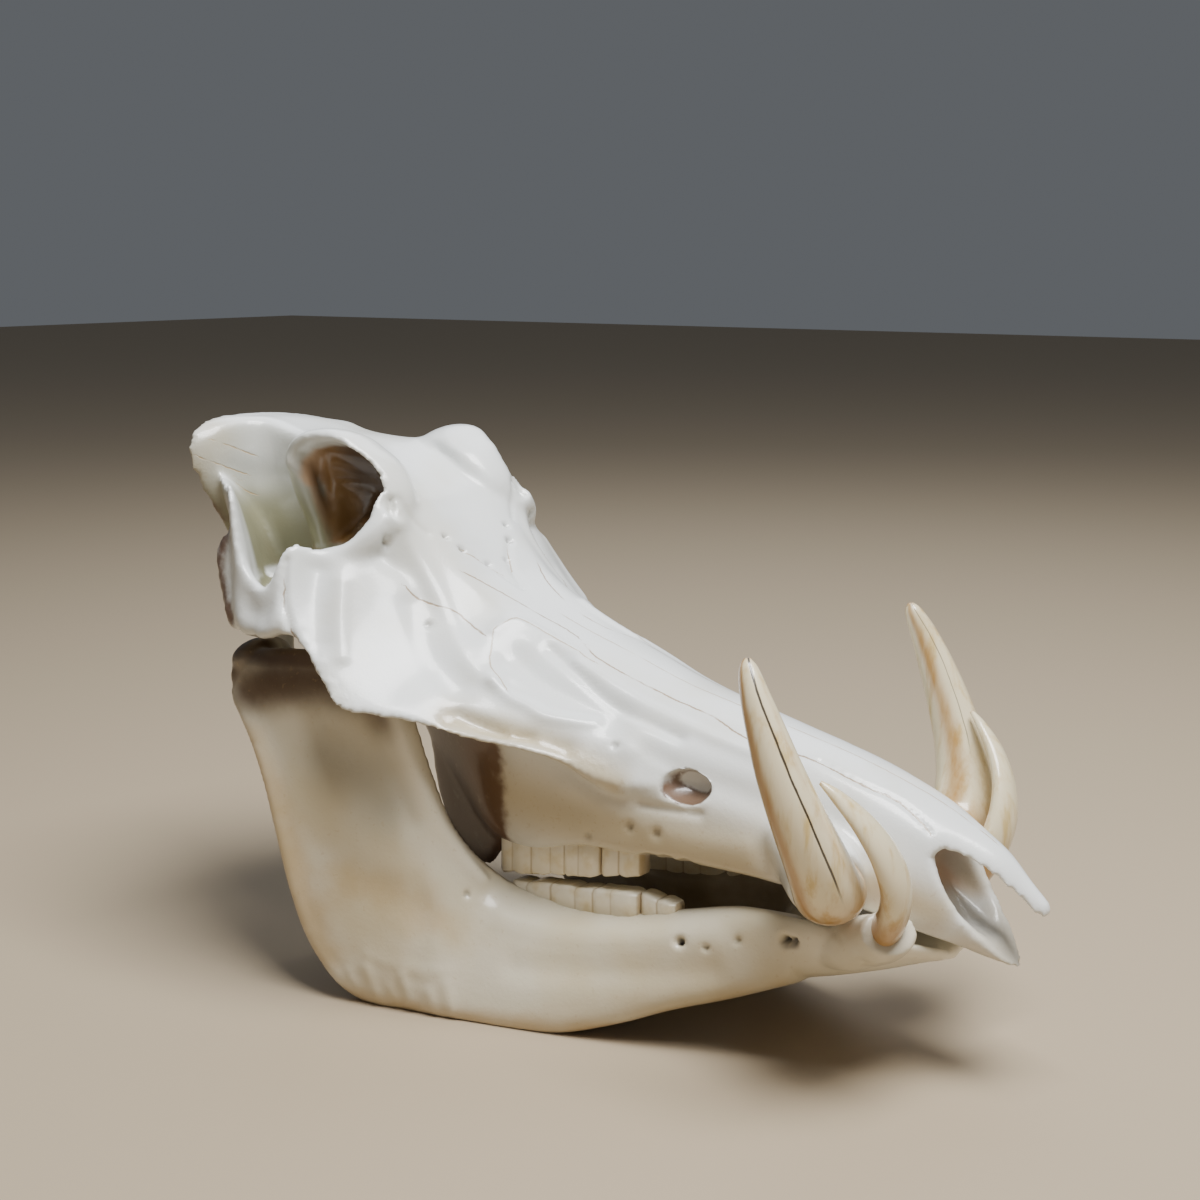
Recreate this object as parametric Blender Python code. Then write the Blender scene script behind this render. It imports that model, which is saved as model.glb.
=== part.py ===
"""A warthog boar's skull with its lower jaw and tusks.

The skull stands on the curved lower edges of its jaw. +X runs forward along the snout, +Y is the animal's left,
and +Z is up. All sizes are in metres. Side pieces are described for the left half, with y as the distance from
the middle plane, and are mirrored for the right half.
"""

import math

import bmesh
import bpy
from mathutils import Matrix, Vector

# Driving dimensions
MIDDLE_SHIFT = Vector((0.0, 0.0, 0.0))  # brings the middle of the skull's base over the origin
BONE_VOXEL = 0.0024  # grain at which overlapping shapes of bone grow together
SOCKET_GAP = 0.0005  # room between a tooth and its socket
NAPE_LEAN = 0.12  # fall of the nape to the left, for each metre to the side
CRANIUM_FACES = 4100
MANDIBLE_FACES = 2000

SIDES = {"right": -1, "left": 1}


def remove_everything():
    for obj in list(bpy.data.objects):
        bpy.data.objects.remove(obj)


# Shaping tools

def smooth_line(points, steps, closed=False):
    """Points on a smooth curve through the given points, with so many steps from one to the next."""
    count = len(points)
    last = count if closed else count - 1
    line = []
    for i in range(last):
        ends = [points[(i + k) % count] if closed else points[min(max(i + k, 0), count - 1)]
                for k in (-1, 0, 1, 2)]
        before, start, end, after = ends
        for k in range(steps):
            t = k / steps
            line.append(0.5 * (2 * start + (end - before) * t
                               + (2 * before - 5 * start + 4 * end - after) * t * t
                               + (3 * start - before - 3 * end + after) * t ** 3))
    if not closed:
        line.append(points[-1].copy())
    return line


def loft(rings, along=3):
    """A closed solid through rings of points, as a bmesh: one face pulled from ring to ring."""
    lines = [smooth_line(list(line), along) for line in zip(*rings)]
    rings = list(zip(*lines))
    shape = bmesh.new()
    face = shape.faces.new([shape.verts.new(point) for point in rings[0]])
    for ring in rings[1:]:
        pulled = bmesh.ops.extrude_face_region(shape, geom=[face, *face.edges])
        face = next(part for part in pulled["geom"] if isinstance(part, bmesh.types.BMFace))
        for vert, point in zip(face.verts, ring):
            vert.co = point
    ends = [f for f in shape.faces if len(f.verts) > 4]
    bmesh.ops.triangulate(shape, faces=ends)
    bmesh.ops.recalc_face_normals(shape, faces=shape.faces)
    return shape


def whole_ring(x, half, lean=0.0, around=3):
    """A ring across the skull at x, from half an outline: (y, z) from the top middle to the bottom middle.
    Lean moves the lower points forward."""
    top = half[0][1]
    side = [Vector((x + lean * (top - z), y, z)) for y, z in half]
    other = [Vector((p.x, -p.y, p.z)) for p in reversed(side[1:-1])]
    return smooth_line(side + other, around, closed=True)


def slab_ring(low, high, thick_low, thick_mid, thick_high, bulge=0.0, around=2):
    """A ring round a plate of bone between its low and high edges. Thickness runs sideways, and bulge moves
    its middle outwards."""
    low, high = Vector(low), Vector(high)
    out = Vector((0, 1, 0))
    shares = (0.0, 0.12, 0.5, 0.88, 1.0)
    halves = (0.0, thick_low / 2, thick_mid / 2, thick_high / 2, 0.0)
    spine = [low.lerp(high, share) + out * bulge * 4 * share * (1 - share) for share in shares]
    outer = [p + out * h for p, h in zip(spine, halves)]
    inner = [p - out * h for p, h in zip(spine, halves)]
    return smooth_line(outer + inner[-2:0:-1], around, closed=True)


def sweep(path, radii, facing, steps=3, around=12, outline=None):
    """A solid along a path. Radii are (towards facing, across) at each point of the path. Outline changes the
    round section: it takes an angle and gives a share of each radius."""
    path = [Vector(p) for p in path]
    facing = Vector(facing)
    sizes = [Vector((a, b, 0)) for a, b in radii]
    path, sizes = smooth_line(path, steps), smooth_line(sizes, steps)
    rings = []
    for i, (centre, size) in enumerate(zip(path, sizes)):
        along = (path[min(i + 1, len(path) - 1)] - path[max(i - 1, 0)]).normalized()
        up = (facing - along * facing.dot(along)).normalized()
        across = along.cross(up)
        ring = []
        for k in range(around):
            angle = 2 * math.pi * k / around
            share = outline(angle) if outline else (1.0, 1.0)
            ring.append(centre + up * size.x * math.cos(angle) * share[0]
                        + across * size.y * math.sin(angle) * share[1])
        rings.append(ring)
    return loft(rings, along=1)


def ball(centre, radii, turn=None, segments=24):
    """An ellipsoid, turned by degrees about y if asked."""
    shape = bmesh.new()
    bmesh.ops.create_uvsphere(shape, u_segments=segments, v_segments=segments // 2, radius=1.0)
    place = Matrix.Translation(centre)
    if turn:
        for axis, degrees in turn:
            place = place @ Matrix.Rotation(math.radians(degrees), 4, axis)
    bmesh.ops.transform(shape, matrix=place @ Matrix.Diagonal((*radii, 1.0)), verts=shape.verts)
    return shape


def mirrored(shape):
    """The same shape on the other side of the middle plane."""
    other = shape.copy()
    bmesh.ops.transform(other, matrix=Matrix.Diagonal((1, -1, 1, 1)), verts=other.verts)
    bmesh.ops.reverse_faces(other, faces=other.faces)
    return other


def both(shapes):
    return list(shapes) + [mirrored(shape) for shape in shapes]


def object_from(name, shapes):
    """One object that holds all these shapes, which are used up."""
    mesh = bpy.data.meshes.new(name)
    joined = bmesh.new()
    for shape in shapes:
        part = bpy.data.meshes.new("part")
        shape.to_mesh(part)
        shape.free()
        joined.from_mesh(part)
        bpy.data.meshes.remove(part)
    joined.to_mesh(mesh)
    joined.free()
    obj = bpy.data.objects.new(name, mesh)
    bpy.context.scene.collection.objects.link(obj)
    return obj


def apply_modifiers(obj):
    graph = bpy.context.evaluated_depsgraph_get()
    mesh = bpy.data.meshes.new_from_object(obj.evaluated_get(graph))
    obj.modifiers.clear()
    obj.data = mesh
    return obj


def grow_together(obj, voxel, smoothing):
    """Overlapping shapes fused to one skin of bone and smoothed where they meet."""
    remesh = obj.modifiers.new("Grow together", "REMESH")
    remesh.mode = "VOXEL"
    remesh.voxel_size = voxel
    if smoothing:
        smooth = obj.modifiers.new("Smooth", "SMOOTH")
        smooth.factor = 0.5
        smooth.iterations = smoothing
    return apply_modifiers(obj)


def cut(obj, tool, solver="EXACT"):
    """The tool's solid taken out of the object. The tool is used up."""
    boolean = obj.modifiers.new("Cut", "BOOLEAN")
    boolean.operation = "DIFFERENCE"
    boolean.object = tool
    boolean.solver = solver
    apply_modifiers(obj)
    bpy.data.objects.remove(tool)
    return obj


def thin_out(obj, faces):
    """The mesh brought down to about so many triangles, with the loose flaps that this leaves taken off."""
    decimate = obj.modifiers.new("Thin out", "DECIMATE")
    decimate.ratio = min(1.0, faces / (2 * len(obj.data.polygons)))
    decimate.use_collapse_triangulate = True
    apply_modifiers(obj)
    mesh = bmesh.new()
    mesh.from_mesh(obj.data)
    bmesh.ops.remove_doubles(mesh, verts=mesh.verts, dist=0.0001)
    flaps = [face for face in mesh.faces if any(len(edge.link_faces) == 1 for edge in face.edges)]
    bmesh.ops.delete(mesh, geom=flaps, context="FACES")
    mesh.to_mesh(obj.data)
    mesh.free()
    return obj


# Cranium

# Half outlines from the nose back: where, how far the lower points lean forward, and (y, z) from the top middle
# round to the palate's middle.
SNOUT_AND_BRAINCASE = (
    (0.1885, 0.0, ((0, 0.0722), (0.0012, 0.0719), (0.0022, 0.0712), (0.0027, 0.0702), (0.0027, 0.0692),
                   (0.0023, 0.0684), (0.0015, 0.0679), (0.0008, 0.0677), (0, 0.0677))),
    (0.180, 0.0, ((0, 0.0800), (0.0028, 0.0784), (0.0050, 0.0755), (0.0064, 0.0700), (0.0062, 0.0620),
                  (0.0052, 0.0540), (0.0036, 0.0490), (0.0016, 0.0475), (0, 0.0475))),
    (0.170, 0.0, ((0, 0.0890), (0.0042, 0.0873), (0.0078, 0.0838), (0.0105, 0.0760), (0.0118, 0.0670),
                  (0.0118, 0.0585), (0.0095, 0.0510), (0.0045, 0.0485), (0, 0.0490))),
    (0.157, 0.0, ((0, 0.0968), (0.0060, 0.0952), (0.0110, 0.0912), (0.0150, 0.0825), (0.0172, 0.0725),
                  (0.0176, 0.0635), (0.0148, 0.0558), (0.0072, 0.0522), (0, 0.0532))),
    (0.143, 0.0, ((0, 0.1038), (0.0095, 0.1018), (0.0170, 0.0966), (0.0208, 0.0880), (0.0238, 0.0775),
                  (0.0245, 0.0685), (0.0225, 0.0605), (0.0110, 0.0570), (0, 0.0595))),
    (0.125, 0.0, ((0, 0.1105), (0.0110, 0.1088), (0.0185, 0.1040), (0.0240, 0.0945), (0.0290, 0.0830),
                  (0.0310, 0.0740), (0.0290, 0.0665), (0.0140, 0.0632), (0, 0.0652))),
    (0.105, 0.0, ((0, 0.1165), (0.0118, 0.1150), (0.0188, 0.1105), (0.0262, 0.1005), (0.0322, 0.0885),
                  (0.0348, 0.0785), (0.0332, 0.0700), (0.0160, 0.0670), (0, 0.0690))),
    (0.080, 0.0, ((0, 0.1225), (0.0125, 0.1210), (0.0195, 0.1168), (0.0278, 0.1075), (0.0340, 0.0955),
                  (0.0366, 0.0835), (0.0356, 0.0725), (0.0180, 0.0705), (0, 0.0725))),
    (0.055, 0.0, ((0, 0.1285), (0.0135, 0.1270), (0.0212, 0.1228), (0.0312, 0.1130), (0.0378, 0.1000),
                  (0.0396, 0.0865), (0.0385, 0.0735), (0.0190, 0.0725), (0, 0.0750))),
    (0.030, 0.0, ((0, 0.1345), (0.0150, 0.1330), (0.0240, 0.1280), (0.0350, 0.1195), (0.0425, 0.1060),
                  (0.0422, 0.0890), (0.0398, 0.0725), (0.0190, 0.0745), (0, 0.0770))),
    (0.005, 0.0, ((0, 0.1430), (0.0170, 0.1415), (0.0280, 0.1360), (0.0400, 0.1270), (0.0465, 0.1120),
                  (0.0434, 0.0920), (0.0398, 0.0715), (0.0190, 0.0755), (0, 0.0785))),
    (-0.020, 0.0, ((0, 0.1510), (0.0200, 0.1500), (0.0320, 0.1435), (0.0450, 0.1345), (0.0495, 0.1180),
                   (0.0446, 0.0960), (0.0396, 0.0655), (0.0180, 0.0765), (0, 0.0800))),
    (-0.040, 0.0, ((0, 0.1590), (0.0220, 0.1585), (0.0350, 0.1515), (0.0480, 0.1425), (0.0510, 0.1270),
                   (0.0445, 0.1040), (0.0390, 0.0690), (0.0180, 0.0790), (0, 0.0830))),
    (-0.060, 0.0, ((0, 0.1700), (0.0230, 0.1705), (0.0365, 0.1620), (0.0480, 0.1510), (0.0495, 0.1370),
                   (0.0420, 0.1160), (0.0330, 0.0830), (0.0160, 0.0820), (0, 0.0880))),
    (-0.078, 0.0, ((0, 0.1865), (0.0225, 0.1885), (0.0370, 0.1820), (0.0465, 0.1680), (0.0450, 0.1520),
                   (0.0380, 0.1320), (0.0290, 0.0980), (0.0150, 0.0900), (0, 0.0960))),
    (-0.087, 0.0, ((0, 0.1950), (0.0225, 0.1985), (0.0400, 0.1990), (0.0490, 0.1870), (0.0430, 0.1660),
                   (0.0365, 0.1440), (0.0280, 0.1100), (0.0145, 0.1010), (0, 0.1040))),
    (-0.097, 0.0, ((0, 0.2040), (0.0220, 0.2075), (0.0425, 0.2150), (0.0515, 0.2040), (0.0420, 0.1820),
                   (0.0350, 0.1560), (0.0270, 0.1220), (0.0140, 0.1130), (0, 0.1140))),
    (-0.120, 0.0, ((0, 0.2165), (0.0200, 0.2190), (0.0380, 0.2240), (0.0400, 0.2130), (0.0320, 0.1900),
                   (0.0310, 0.1660), (0.0270, 0.1420), (0.0140, 0.1340), (0, 0.1340))),
    (-0.140, 0.0, ((0, 0.2225), (0.0175, 0.2235), (0.0330, 0.2230), (0.0345, 0.2140), (0.0300, 0.1960),
                   (0.0310, 0.1720), (0.0280, 0.1520), (0.0150, 0.1430), (0, 0.1430))),
    (-0.158, 0.06, ((0, 0.2265), (0.0160, 0.2265), (0.0275, 0.2250), (0.0290, 0.2150), (0.0285, 0.1990),
                    (0.0325, 0.1780), (0.0300, 0.1580), (0.0160, 0.1480), (0, 0.1480))),
    (-0.174, 0.12, ((0, 0.2310), (0.0170, 0.2305), (0.0300, 0.2290), (0.0335, 0.2190), (0.0340, 0.2040),
                    (0.0360, 0.1850), (0.0360, 0.1680), (0.0200, 0.1530), (0, 0.1530))),
    (-0.182, 0.16, ((0, 0.2320), (0.0240, 0.2308), (0.0440, 0.2275), (0.0545, 0.2195), (0.0550, 0.2070),
                    (0.0480, 0.1880), (0.0400, 0.1710), (0.0210, 0.1570), (0, 0.1560))),
    (-0.190, 0.20, ((0, 0.2332), (0.0260, 0.2315), (0.0490, 0.2275), (0.0620, 0.2195), (0.0640, 0.2075),
                    (0.0530, 0.1900), (0.0410, 0.1740), (0.0220, 0.1600), (0, 0.1580))),
)

# The cheek plate from the facial crest back to the ear: (x, y, z) of its lower and upper edges, then its
# thickness low, at mid height and high.
CHEEK_PLATE = (
    ((0.042, 0.0400, 0.1010), (0.050, 0.034, 0.108), 0.006, 0.008, 0.006),
    ((0.030, 0.0430, 0.0995), (0.034, 0.034, 0.116), 0.010, 0.012, 0.010),
    ((0.018, 0.0465, 0.1020), (0.022, 0.034, 0.121), 0.013, 0.014, 0.010),
    ((0.008, 0.0510, 0.1075), (0.010, 0.035, 0.126), 0.014, 0.015, 0.010),
    ((-0.006, 0.0590, 0.1125), (-0.006, 0.036, 0.132), 0.014, 0.015, 0.010),
    ((-0.028, 0.0695, 0.1165), (-0.026, 0.037, 0.140), 0.012, 0.013, 0.010),
    ((-0.045, 0.0790, 0.1220), (-0.046, 0.039, 0.149), 0.010, 0.012, 0.010),
    ((-0.060, 0.0880, 0.1245), (-0.064, 0.041, 0.160), 0.009, 0.010, 0.010),
    ((-0.073, 0.0950, 0.1270), (-0.080, 0.045, 0.175), 0.008, 0.010, 0.010),
    ((-0.084, 0.0930, 0.1370), (-0.093, 0.056, 0.185), 0.008, 0.010, 0.008),
    ((-0.096, 0.0910, 0.1490), (-0.105, 0.067, 0.186), 0.009, 0.011, 0.007),
    ((-0.104, 0.0905, 0.1530), (-0.112, 0.079, 0.188), 0.012, 0.011, 0.006),
    ((-0.112, 0.0900, 0.1505), (-0.1175, 0.086, 0.1715), 0.013, 0.010, 0.007),
    ((-0.121, 0.0870, 0.1495), (-0.127, 0.086, 0.1745), 0.014, 0.010, 0.006),
    ((-0.128, 0.0865, 0.1495), (-0.1345, 0.0850, 0.1850), 0.014, 0.011, 0.006),
    ((-0.134, 0.0830, 0.1500), (-0.1405, 0.0825, 0.2020), 0.014, 0.011, 0.005),
    ((-0.139, 0.0760, 0.1515), (-0.1450, 0.0795, 0.2065), 0.015, 0.012, 0.005),
    ((-0.1455, 0.0660, 0.1520), (-0.1525, 0.0720, 0.2040), 0.016, 0.012, 0.006),
    ((-0.151, 0.0540, 0.1530), (-0.1630, 0.0640, 0.2040), 0.018, 0.012, 0.008),
    ((-0.155, 0.0400, 0.1560), (-0.1740, 0.0550, 0.2050), 0.022, 0.016, 0.010),
    ((-0.160, 0.0280, 0.1600), (-0.1830, 0.0440, 0.2060), 0.022, 0.020, 0.014),
)

# The brow, a shelf of bone from the front of the eye socket round to the hook behind it: place, half width and
# half thickness.
BROW = (
    ((-0.0875, 0.0390, 0.1900), 0.0080, 0.0045),
    ((-0.0905, 0.0335, 0.2025), 0.0090, 0.0045),
    ((-0.0955, 0.0320, 0.2105), 0.0105, 0.0045),
    ((-0.1010, 0.0320, 0.2160), 0.0120, 0.0045),
    ((-0.1070, 0.0335, 0.2200), 0.0130, 0.0045),
    ((-0.1140, 0.0350, 0.2240), 0.0135, 0.0046),
    ((-0.1230, 0.0370, 0.2245), 0.0135, 0.0047),
    ((-0.1320, 0.0395, 0.2215), 0.0130, 0.0047),
    ((-0.1370, 0.0430, 0.2155), 0.0110, 0.0042),
    ((-0.1375, 0.0480, 0.2085), 0.0065, 0.0028),
)

# The rim of the eye socket from the tip of the hook over the top, round the front and back inside the cheek
# arch. The socket runs inwards from it in steps: share of the rim's size, and distance in.
EYE_RIM = (
    (-0.1345, 0.0550, 0.2070), (-0.1365, 0.0550, 0.2125), (-0.1338, 0.0540, 0.2183), (-0.1281, 0.0520, 0.2232),
    (-0.1202, 0.0500, 0.2252), (-0.1125, 0.0465, 0.2248), (-0.1044, 0.0450, 0.2215), (-0.0975, 0.0430, 0.2160),
    (-0.0925, 0.0425, 0.2080), (-0.0925, 0.0465, 0.1998), (-0.0935, 0.0530, 0.1925), (-0.0985, 0.0590, 0.1865),
    (-0.1066, 0.0615, 0.1845), (-0.1150, 0.0600, 0.1840), (-0.1250, 0.0480, 0.1800), (-0.1315, 0.0350, 0.1810),
    (-0.1325, 0.0375, 0.1900), (-0.1335, 0.0415, 0.1990), (-0.1335, 0.0480, 0.2065),
)
EYE_MIDDLE = (-0.110, 0.046, 0.203)
EYE_STEPS = ((0.90, 0.007), (0.72, 0.015), (0.42, 0.0205), (0.10, 0.0225))
NOSTRIL_NOTCH = ((0.1475, 0.0880), (0.1505, 0.0903), (0.1550, 0.0892), (0.1600, 0.0872), (0.1650, 0.0845),
                 (0.1700, 0.0812), (0.1750, 0.0774), (0.1800, 0.0730), (0.1850, 0.0688), (0.2050, 0.0500),
                 (0.2050, 0.0350), (0.1765, 0.0475), (0.1735, 0.0503), (0.1676, 0.0572), (0.1634, 0.0612),
                 (0.1592, 0.0664), (0.1554, 0.0720), (0.1504, 0.0809), (0.1482, 0.0860))
NASAL_TUNNEL = (
    (0.205, ((0, 0.0550), (0.0030, 0.0540), (0.0040, 0.0530), (0.0040, 0.0500), (0.0030, 0.0450), (0, 0.0440))),
    (0.182, ((0, 0.0715), (0.0028, 0.0705), (0.0045, 0.0670), (0.0050, 0.0610), (0.0040, 0.0540), (0, 0.0530))),
    (0.168, ((0, 0.0815), (0.0040, 0.0805), (0.0075, 0.0750), (0.0086, 0.0660), (0.0066, 0.0575), (0, 0.0560))),
    (0.153, ((0, 0.0915), (0.0065, 0.0900), (0.0115, 0.0830), (0.0138, 0.0735), (0.0115, 0.0640), (0, 0.0610))),
    (0.135, ((0, 0.0975), (0.0070, 0.0960), (0.0115, 0.0895), (0.0130, 0.0810), (0.0110, 0.0740), (0, 0.0710))),
    (0.118, ((0, 0.0980), (0.0040, 0.0970), (0.0060, 0.0930), (0.0060, 0.0880), (0.0040, 0.0850), (0, 0.0840))),
)
FORAMEN = ((0.0530, 0.0385, 0.1025), (0.0088, 0.012, 0.0058))


def snout_and_braincase():
    rings = [whole_ring(x, half, lean) for x, lean, half in SNOUT_AND_BRAINCASE]
    return loft(rings)


def cheek_plate():
    rings = [slab_ring(low, high, a, b, c, bulge=-0.0025) for low, high, a, b, c in CHEEK_PLATE]
    return loft(rings)


def brow():
    return sweep([p for p, _, _ in BROW], [(a, b) for _, a, b in BROW], facing=(0, 1, 0.2), around=16)


def socket_back():
    """The ridge between the eye socket and the hollow of the temple."""
    path = ((-0.1385, 0.044, 0.212), (-0.1385, 0.0385, 0.200), (-0.1370, 0.034, 0.190), (-0.136, 0.031, 0.178))
    radii = ((0.005, 0.006), (0.005, 0.006), (0.005, 0.006), (0.005, 0.006))
    return sweep(path, radii, facing=(0, 1, 0), around=12)


def socket_front():
    """The front lower corner of the eye socket, where the cheek plate meets the face."""
    path = ((-0.0885, 0.0440, 0.197), (-0.0905, 0.0510, 0.190),
            (-0.0960, 0.0580, 0.1835), (-0.1050, 0.0650, 0.1810))
    radii = ((0.006, 0.006), (0.006, 0.006), (0.005, 0.005), (0.0035, 0.0035))
    return sweep(path, radii, facing=(0, 1, 0), around=12)


def eye_socket():
    rim = smooth_line([Vector(p) for p in EYE_RIM], 2, closed=True)
    middle = Vector(EYE_MIDDLE)
    rings = [[p + Vector((0, 0.030, 0.010)) for p in rim], rim]
    rings += [[middle + (p - middle) * share - Vector((0, depth, 0)) for p in rim] for share, depth in EYE_STEPS]
    return loft(rings, along=2)


def mastoid_edge():
    """The rough back edge of the cheek arch, beside the ear."""
    path = ((-0.1470, 0.078, 0.188), (-0.1475, 0.0795, 0.180), (-0.1445, 0.081, 0.169), (-0.139, 0.084, 0.159),
            (-0.134, 0.0865, 0.152))
    radii = ((0.0020, 0.0030), (0.0032, 0.0055), (0.0035, 0.0060), (0.0035, 0.0060), (0.0030, 0.0040))
    return sweep(path, radii, facing=(0, 1, 0), around=12)


def tusk_sheath():
    """The bony collar that the upper tusk comes out of."""
    path = ((0.085, 0.020, 0.092), (0.100, 0.028, 0.086), (0.112, 0.036, 0.081), (0.119, 0.0425, 0.0780))
    radii = ((0.010, 0.011), (0.0135, 0.0135), (0.0155, 0.0150), (0.0150, 0.0145))
    return sweep(path, radii, facing=(0, 0, 1), around=16)


def glenoid_bar():
    """The cross bar over the jaw's joint."""
    path = ((-0.134, 0.020, 0.160), (-0.134, 0.045, 0.158), (-0.131, 0.066, 0.156), (-0.121, 0.084, 0.157))
    radii = ((0.010, 0.016), (0.008, 0.016), (0.0075, 0.015), (0.0065, 0.012))
    return sweep(path, radii, facing=(0, 0, 1), around=12)


def ear_prong():
    """The long prong that hangs behind the jaw's joint."""
    path = ((-0.152, 0.044, 0.168), (-0.153, 0.046, 0.150), (-0.151, 0.045, 0.130), (-0.147, 0.043, 0.112))
    radii = ((0.012, 0.010), (0.009, 0.008), (0.006, 0.0055), (0.0025, 0.0025))
    return sweep(path, radii, facing=(1, 0, 0), around=12)


def throat_wing():
    """The thin wing of bone beside the back of the nose passage."""
    rings = [slab_ring(low, high, 0.006, 0.006, 0.008) for low, high in (
        ((-0.044, 0.020, 0.072), (-0.044, 0.022, 0.104)),
        ((-0.058, 0.019, 0.073), (-0.060, 0.022, 0.116)),
        ((-0.072, 0.018, 0.080), (-0.076, 0.022, 0.130)),
        ((-0.084, 0.018, 0.100), (-0.092, 0.022, 0.142)),
        ((-0.092, 0.019, 0.118), (-0.104, 0.022, 0.148)))]
    return loft(rings)


def molar_wing():
    """The wing of bone that runs back and down behind the last upper tooth."""
    rings = [slab_ring(low, high, 0.004, 0.006, thick) for low, high, thick in (
        ((-0.036, 0.0340, 0.066), (-0.036, 0.036, 0.100), 0.010),
        ((-0.046, 0.0315, 0.058), (-0.048, 0.034, 0.104), 0.010),
        ((-0.056, 0.0300, 0.060), (-0.060, 0.031, 0.112), 0.008),
        ((-0.066, 0.0295, 0.070), (-0.072, 0.028, 0.122), 0.008),
        ((-0.074, 0.0270, 0.084), (-0.082, 0.026, 0.132), 0.007))]
    return loft(rings)


def cranium_solids():
    pairs = [cheek_plate(), brow(), socket_back(), socket_front(), mastoid_edge(), tusk_sheath(), glenoid_bar(),
             ear_prong(), throat_wing(), molar_wing(),
             ball((-0.128, 0.026, 0.136), (0.012, 0.008, 0.014)),
             ball((-0.170, 0.016, 0.160), (0.013, 0.010, 0.014))]
    return [snout_and_braincase()] + both(pairs)


def nostril_cutters():
    tunnel = loft([whole_ring(x, half) for x, half in NASAL_TUNNEL])
    notch = bmesh.new()
    face = notch.faces.new([notch.verts.new((x, -0.04, z)) for x, z in NOSTRIL_NOTCH])
    pulled = bmesh.ops.extrude_face_region(notch, geom=[face])
    moved = [v for v in pulled["geom"] if isinstance(v, bmesh.types.BMVert)]
    bmesh.ops.translate(notch, vec=(0, 0.08, 0), verts=moved)
    bmesh.ops.recalc_face_normals(notch, faces=notch.faces)
    return [tunnel, notch]


def cranium_hollows():
    pairs = [eye_socket(), ball(*FORAMEN, turn=(("Z", 30), ("Y", 12)))]
    middle = [ball((-0.203, 0, 0.208), (0.020, 0.044, 0.022)),
              sweep(((-0.200, 0, 0.172), (-0.170, 0, 0.174), (-0.140, 0, 0.180), (-0.115, 0, 0.184)),
                    ((0.010, 0.012), (0.0095, 0.0115), (0.014, 0.018), (0.008, 0.010)), facing=(0, 0, 1)),
              sweep(((-0.100, 0, 0.100), (-0.080, 0, 0.106), (-0.060, 0, 0.104), (-0.040, 0, 0.100)),
                    ((0.016, 0.013), (0.015, 0.013), (0.012, 0.012), (0.006, 0.008)), facing=(0, 0, 1))]
    return both(pairs) + middle + nostril_cutters()


# Mandible

# The jaw's side from the joint forward: lower and upper edges as (x, y, z), then thickness low, mid and high.
JAW_SIDE = (
    ((-0.1400, 0.083, 0.121), (-0.1435, 0.080, 0.135), 0.007, 0.008, 0.007),
    ((-0.1290, 0.084, 0.106), (-0.136, 0.077, 0.141), 0.009, 0.010, 0.012),
    ((-0.1185, 0.085, 0.084), (-0.126, 0.076, 0.143), 0.011, 0.009, 0.012),
    ((-0.1075, 0.084, 0.042), (-0.111, 0.077, 0.145), 0.012, 0.008, 0.008),
    ((-0.0985, 0.082, 0.018), (-0.099, 0.075, 0.146), 0.013, 0.008, 0.006),
    ((-0.085, 0.080, 0.003), (-0.086, 0.073, 0.145), 0.014, 0.008, 0.006),
    ((-0.070, 0.077, -0.002), (-0.072, 0.070, 0.142), 0.015, 0.009, 0.006),
    ((-0.057, 0.074, -0.002), (-0.061, 0.067, 0.130), 0.015, 0.010, 0.007),
    ((-0.047, 0.072, -0.002), (-0.052, 0.063, 0.100), 0.015, 0.011, 0.008),
    ((-0.038, 0.070, -0.002), (-0.044, 0.057, 0.073), 0.016, 0.017, 0.011),
    ((-0.027, 0.067, -0.002), (-0.030, 0.044, 0.051), 0.017, 0.024, 0.022),
    ((-0.006, 0.062, -0.002), (-0.006, 0.037, 0.045), 0.017, 0.027, 0.024),
    ((0.012, 0.057, 0.000), (0.012, 0.0355, 0.045), 0.017, 0.026, 0.022),
    ((0.034, 0.050, 0.007), (0.034, 0.0345, 0.048), 0.017, 0.024, 0.020),
    ((0.054, 0.043, 0.015), (0.054, 0.0330, 0.053), 0.017, 0.022, 0.017),
    ((0.076, 0.034, 0.022), (0.076, 0.0315, 0.058), 0.018, 0.020, 0.014),
    ((0.100, 0.024, 0.031), (0.100, 0.0310, 0.059), 0.018, 0.018, 0.013),
)

# The chin, where both sides meet: half outlines from the top middle round to the bottom middle.
CHIN = (
    (0.062, ((0, 0.027), (0.014, 0.027), (0.024, 0.032), (0.031, 0.038), (0.036, 0.036), (0.036, 0.028),
             (0.024, 0.022), (0, 0.0235))),
    (0.074, ((0, 0.034), (0.012, 0.035), (0.023, 0.045), (0.032, 0.055), (0.037, 0.048), (0.035, 0.032),
             (0.024, 0.023), (0, 0.0245))),
    (0.090, ((0, 0.043), (0.012, 0.044), (0.025, 0.053), (0.034, 0.059), (0.038, 0.048), (0.033, 0.035),
             (0.020, 0.028), (0, 0.027))),
    (0.110, ((0, 0.048), (0.012, 0.048), (0.026, 0.055), (0.037, 0.060), (0.038, 0.050), (0.029, 0.038),
             (0.016, 0.033), (0, 0.032))),
    (0.128, ((0, 0.050), (0.012, 0.050), (0.024, 0.055), (0.035, 0.059), (0.034, 0.051), (0.024, 0.042),
             (0.012, 0.038), (0, 0.037))),
    (0.141, ((0, 0.050), (0.009, 0.050), (0.018, 0.053), (0.026, 0.056), (0.024, 0.050), (0.016, 0.045),
             (0.008, 0.042), (0, 0.041))),
    (0.152, ((0, 0.0485), (0.004, 0.0485), (0.008, 0.050), (0.011, 0.050), (0.010, 0.0475), (0.007, 0.0455),
             (0.003, 0.0445), (0, 0.044))),
)


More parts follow.
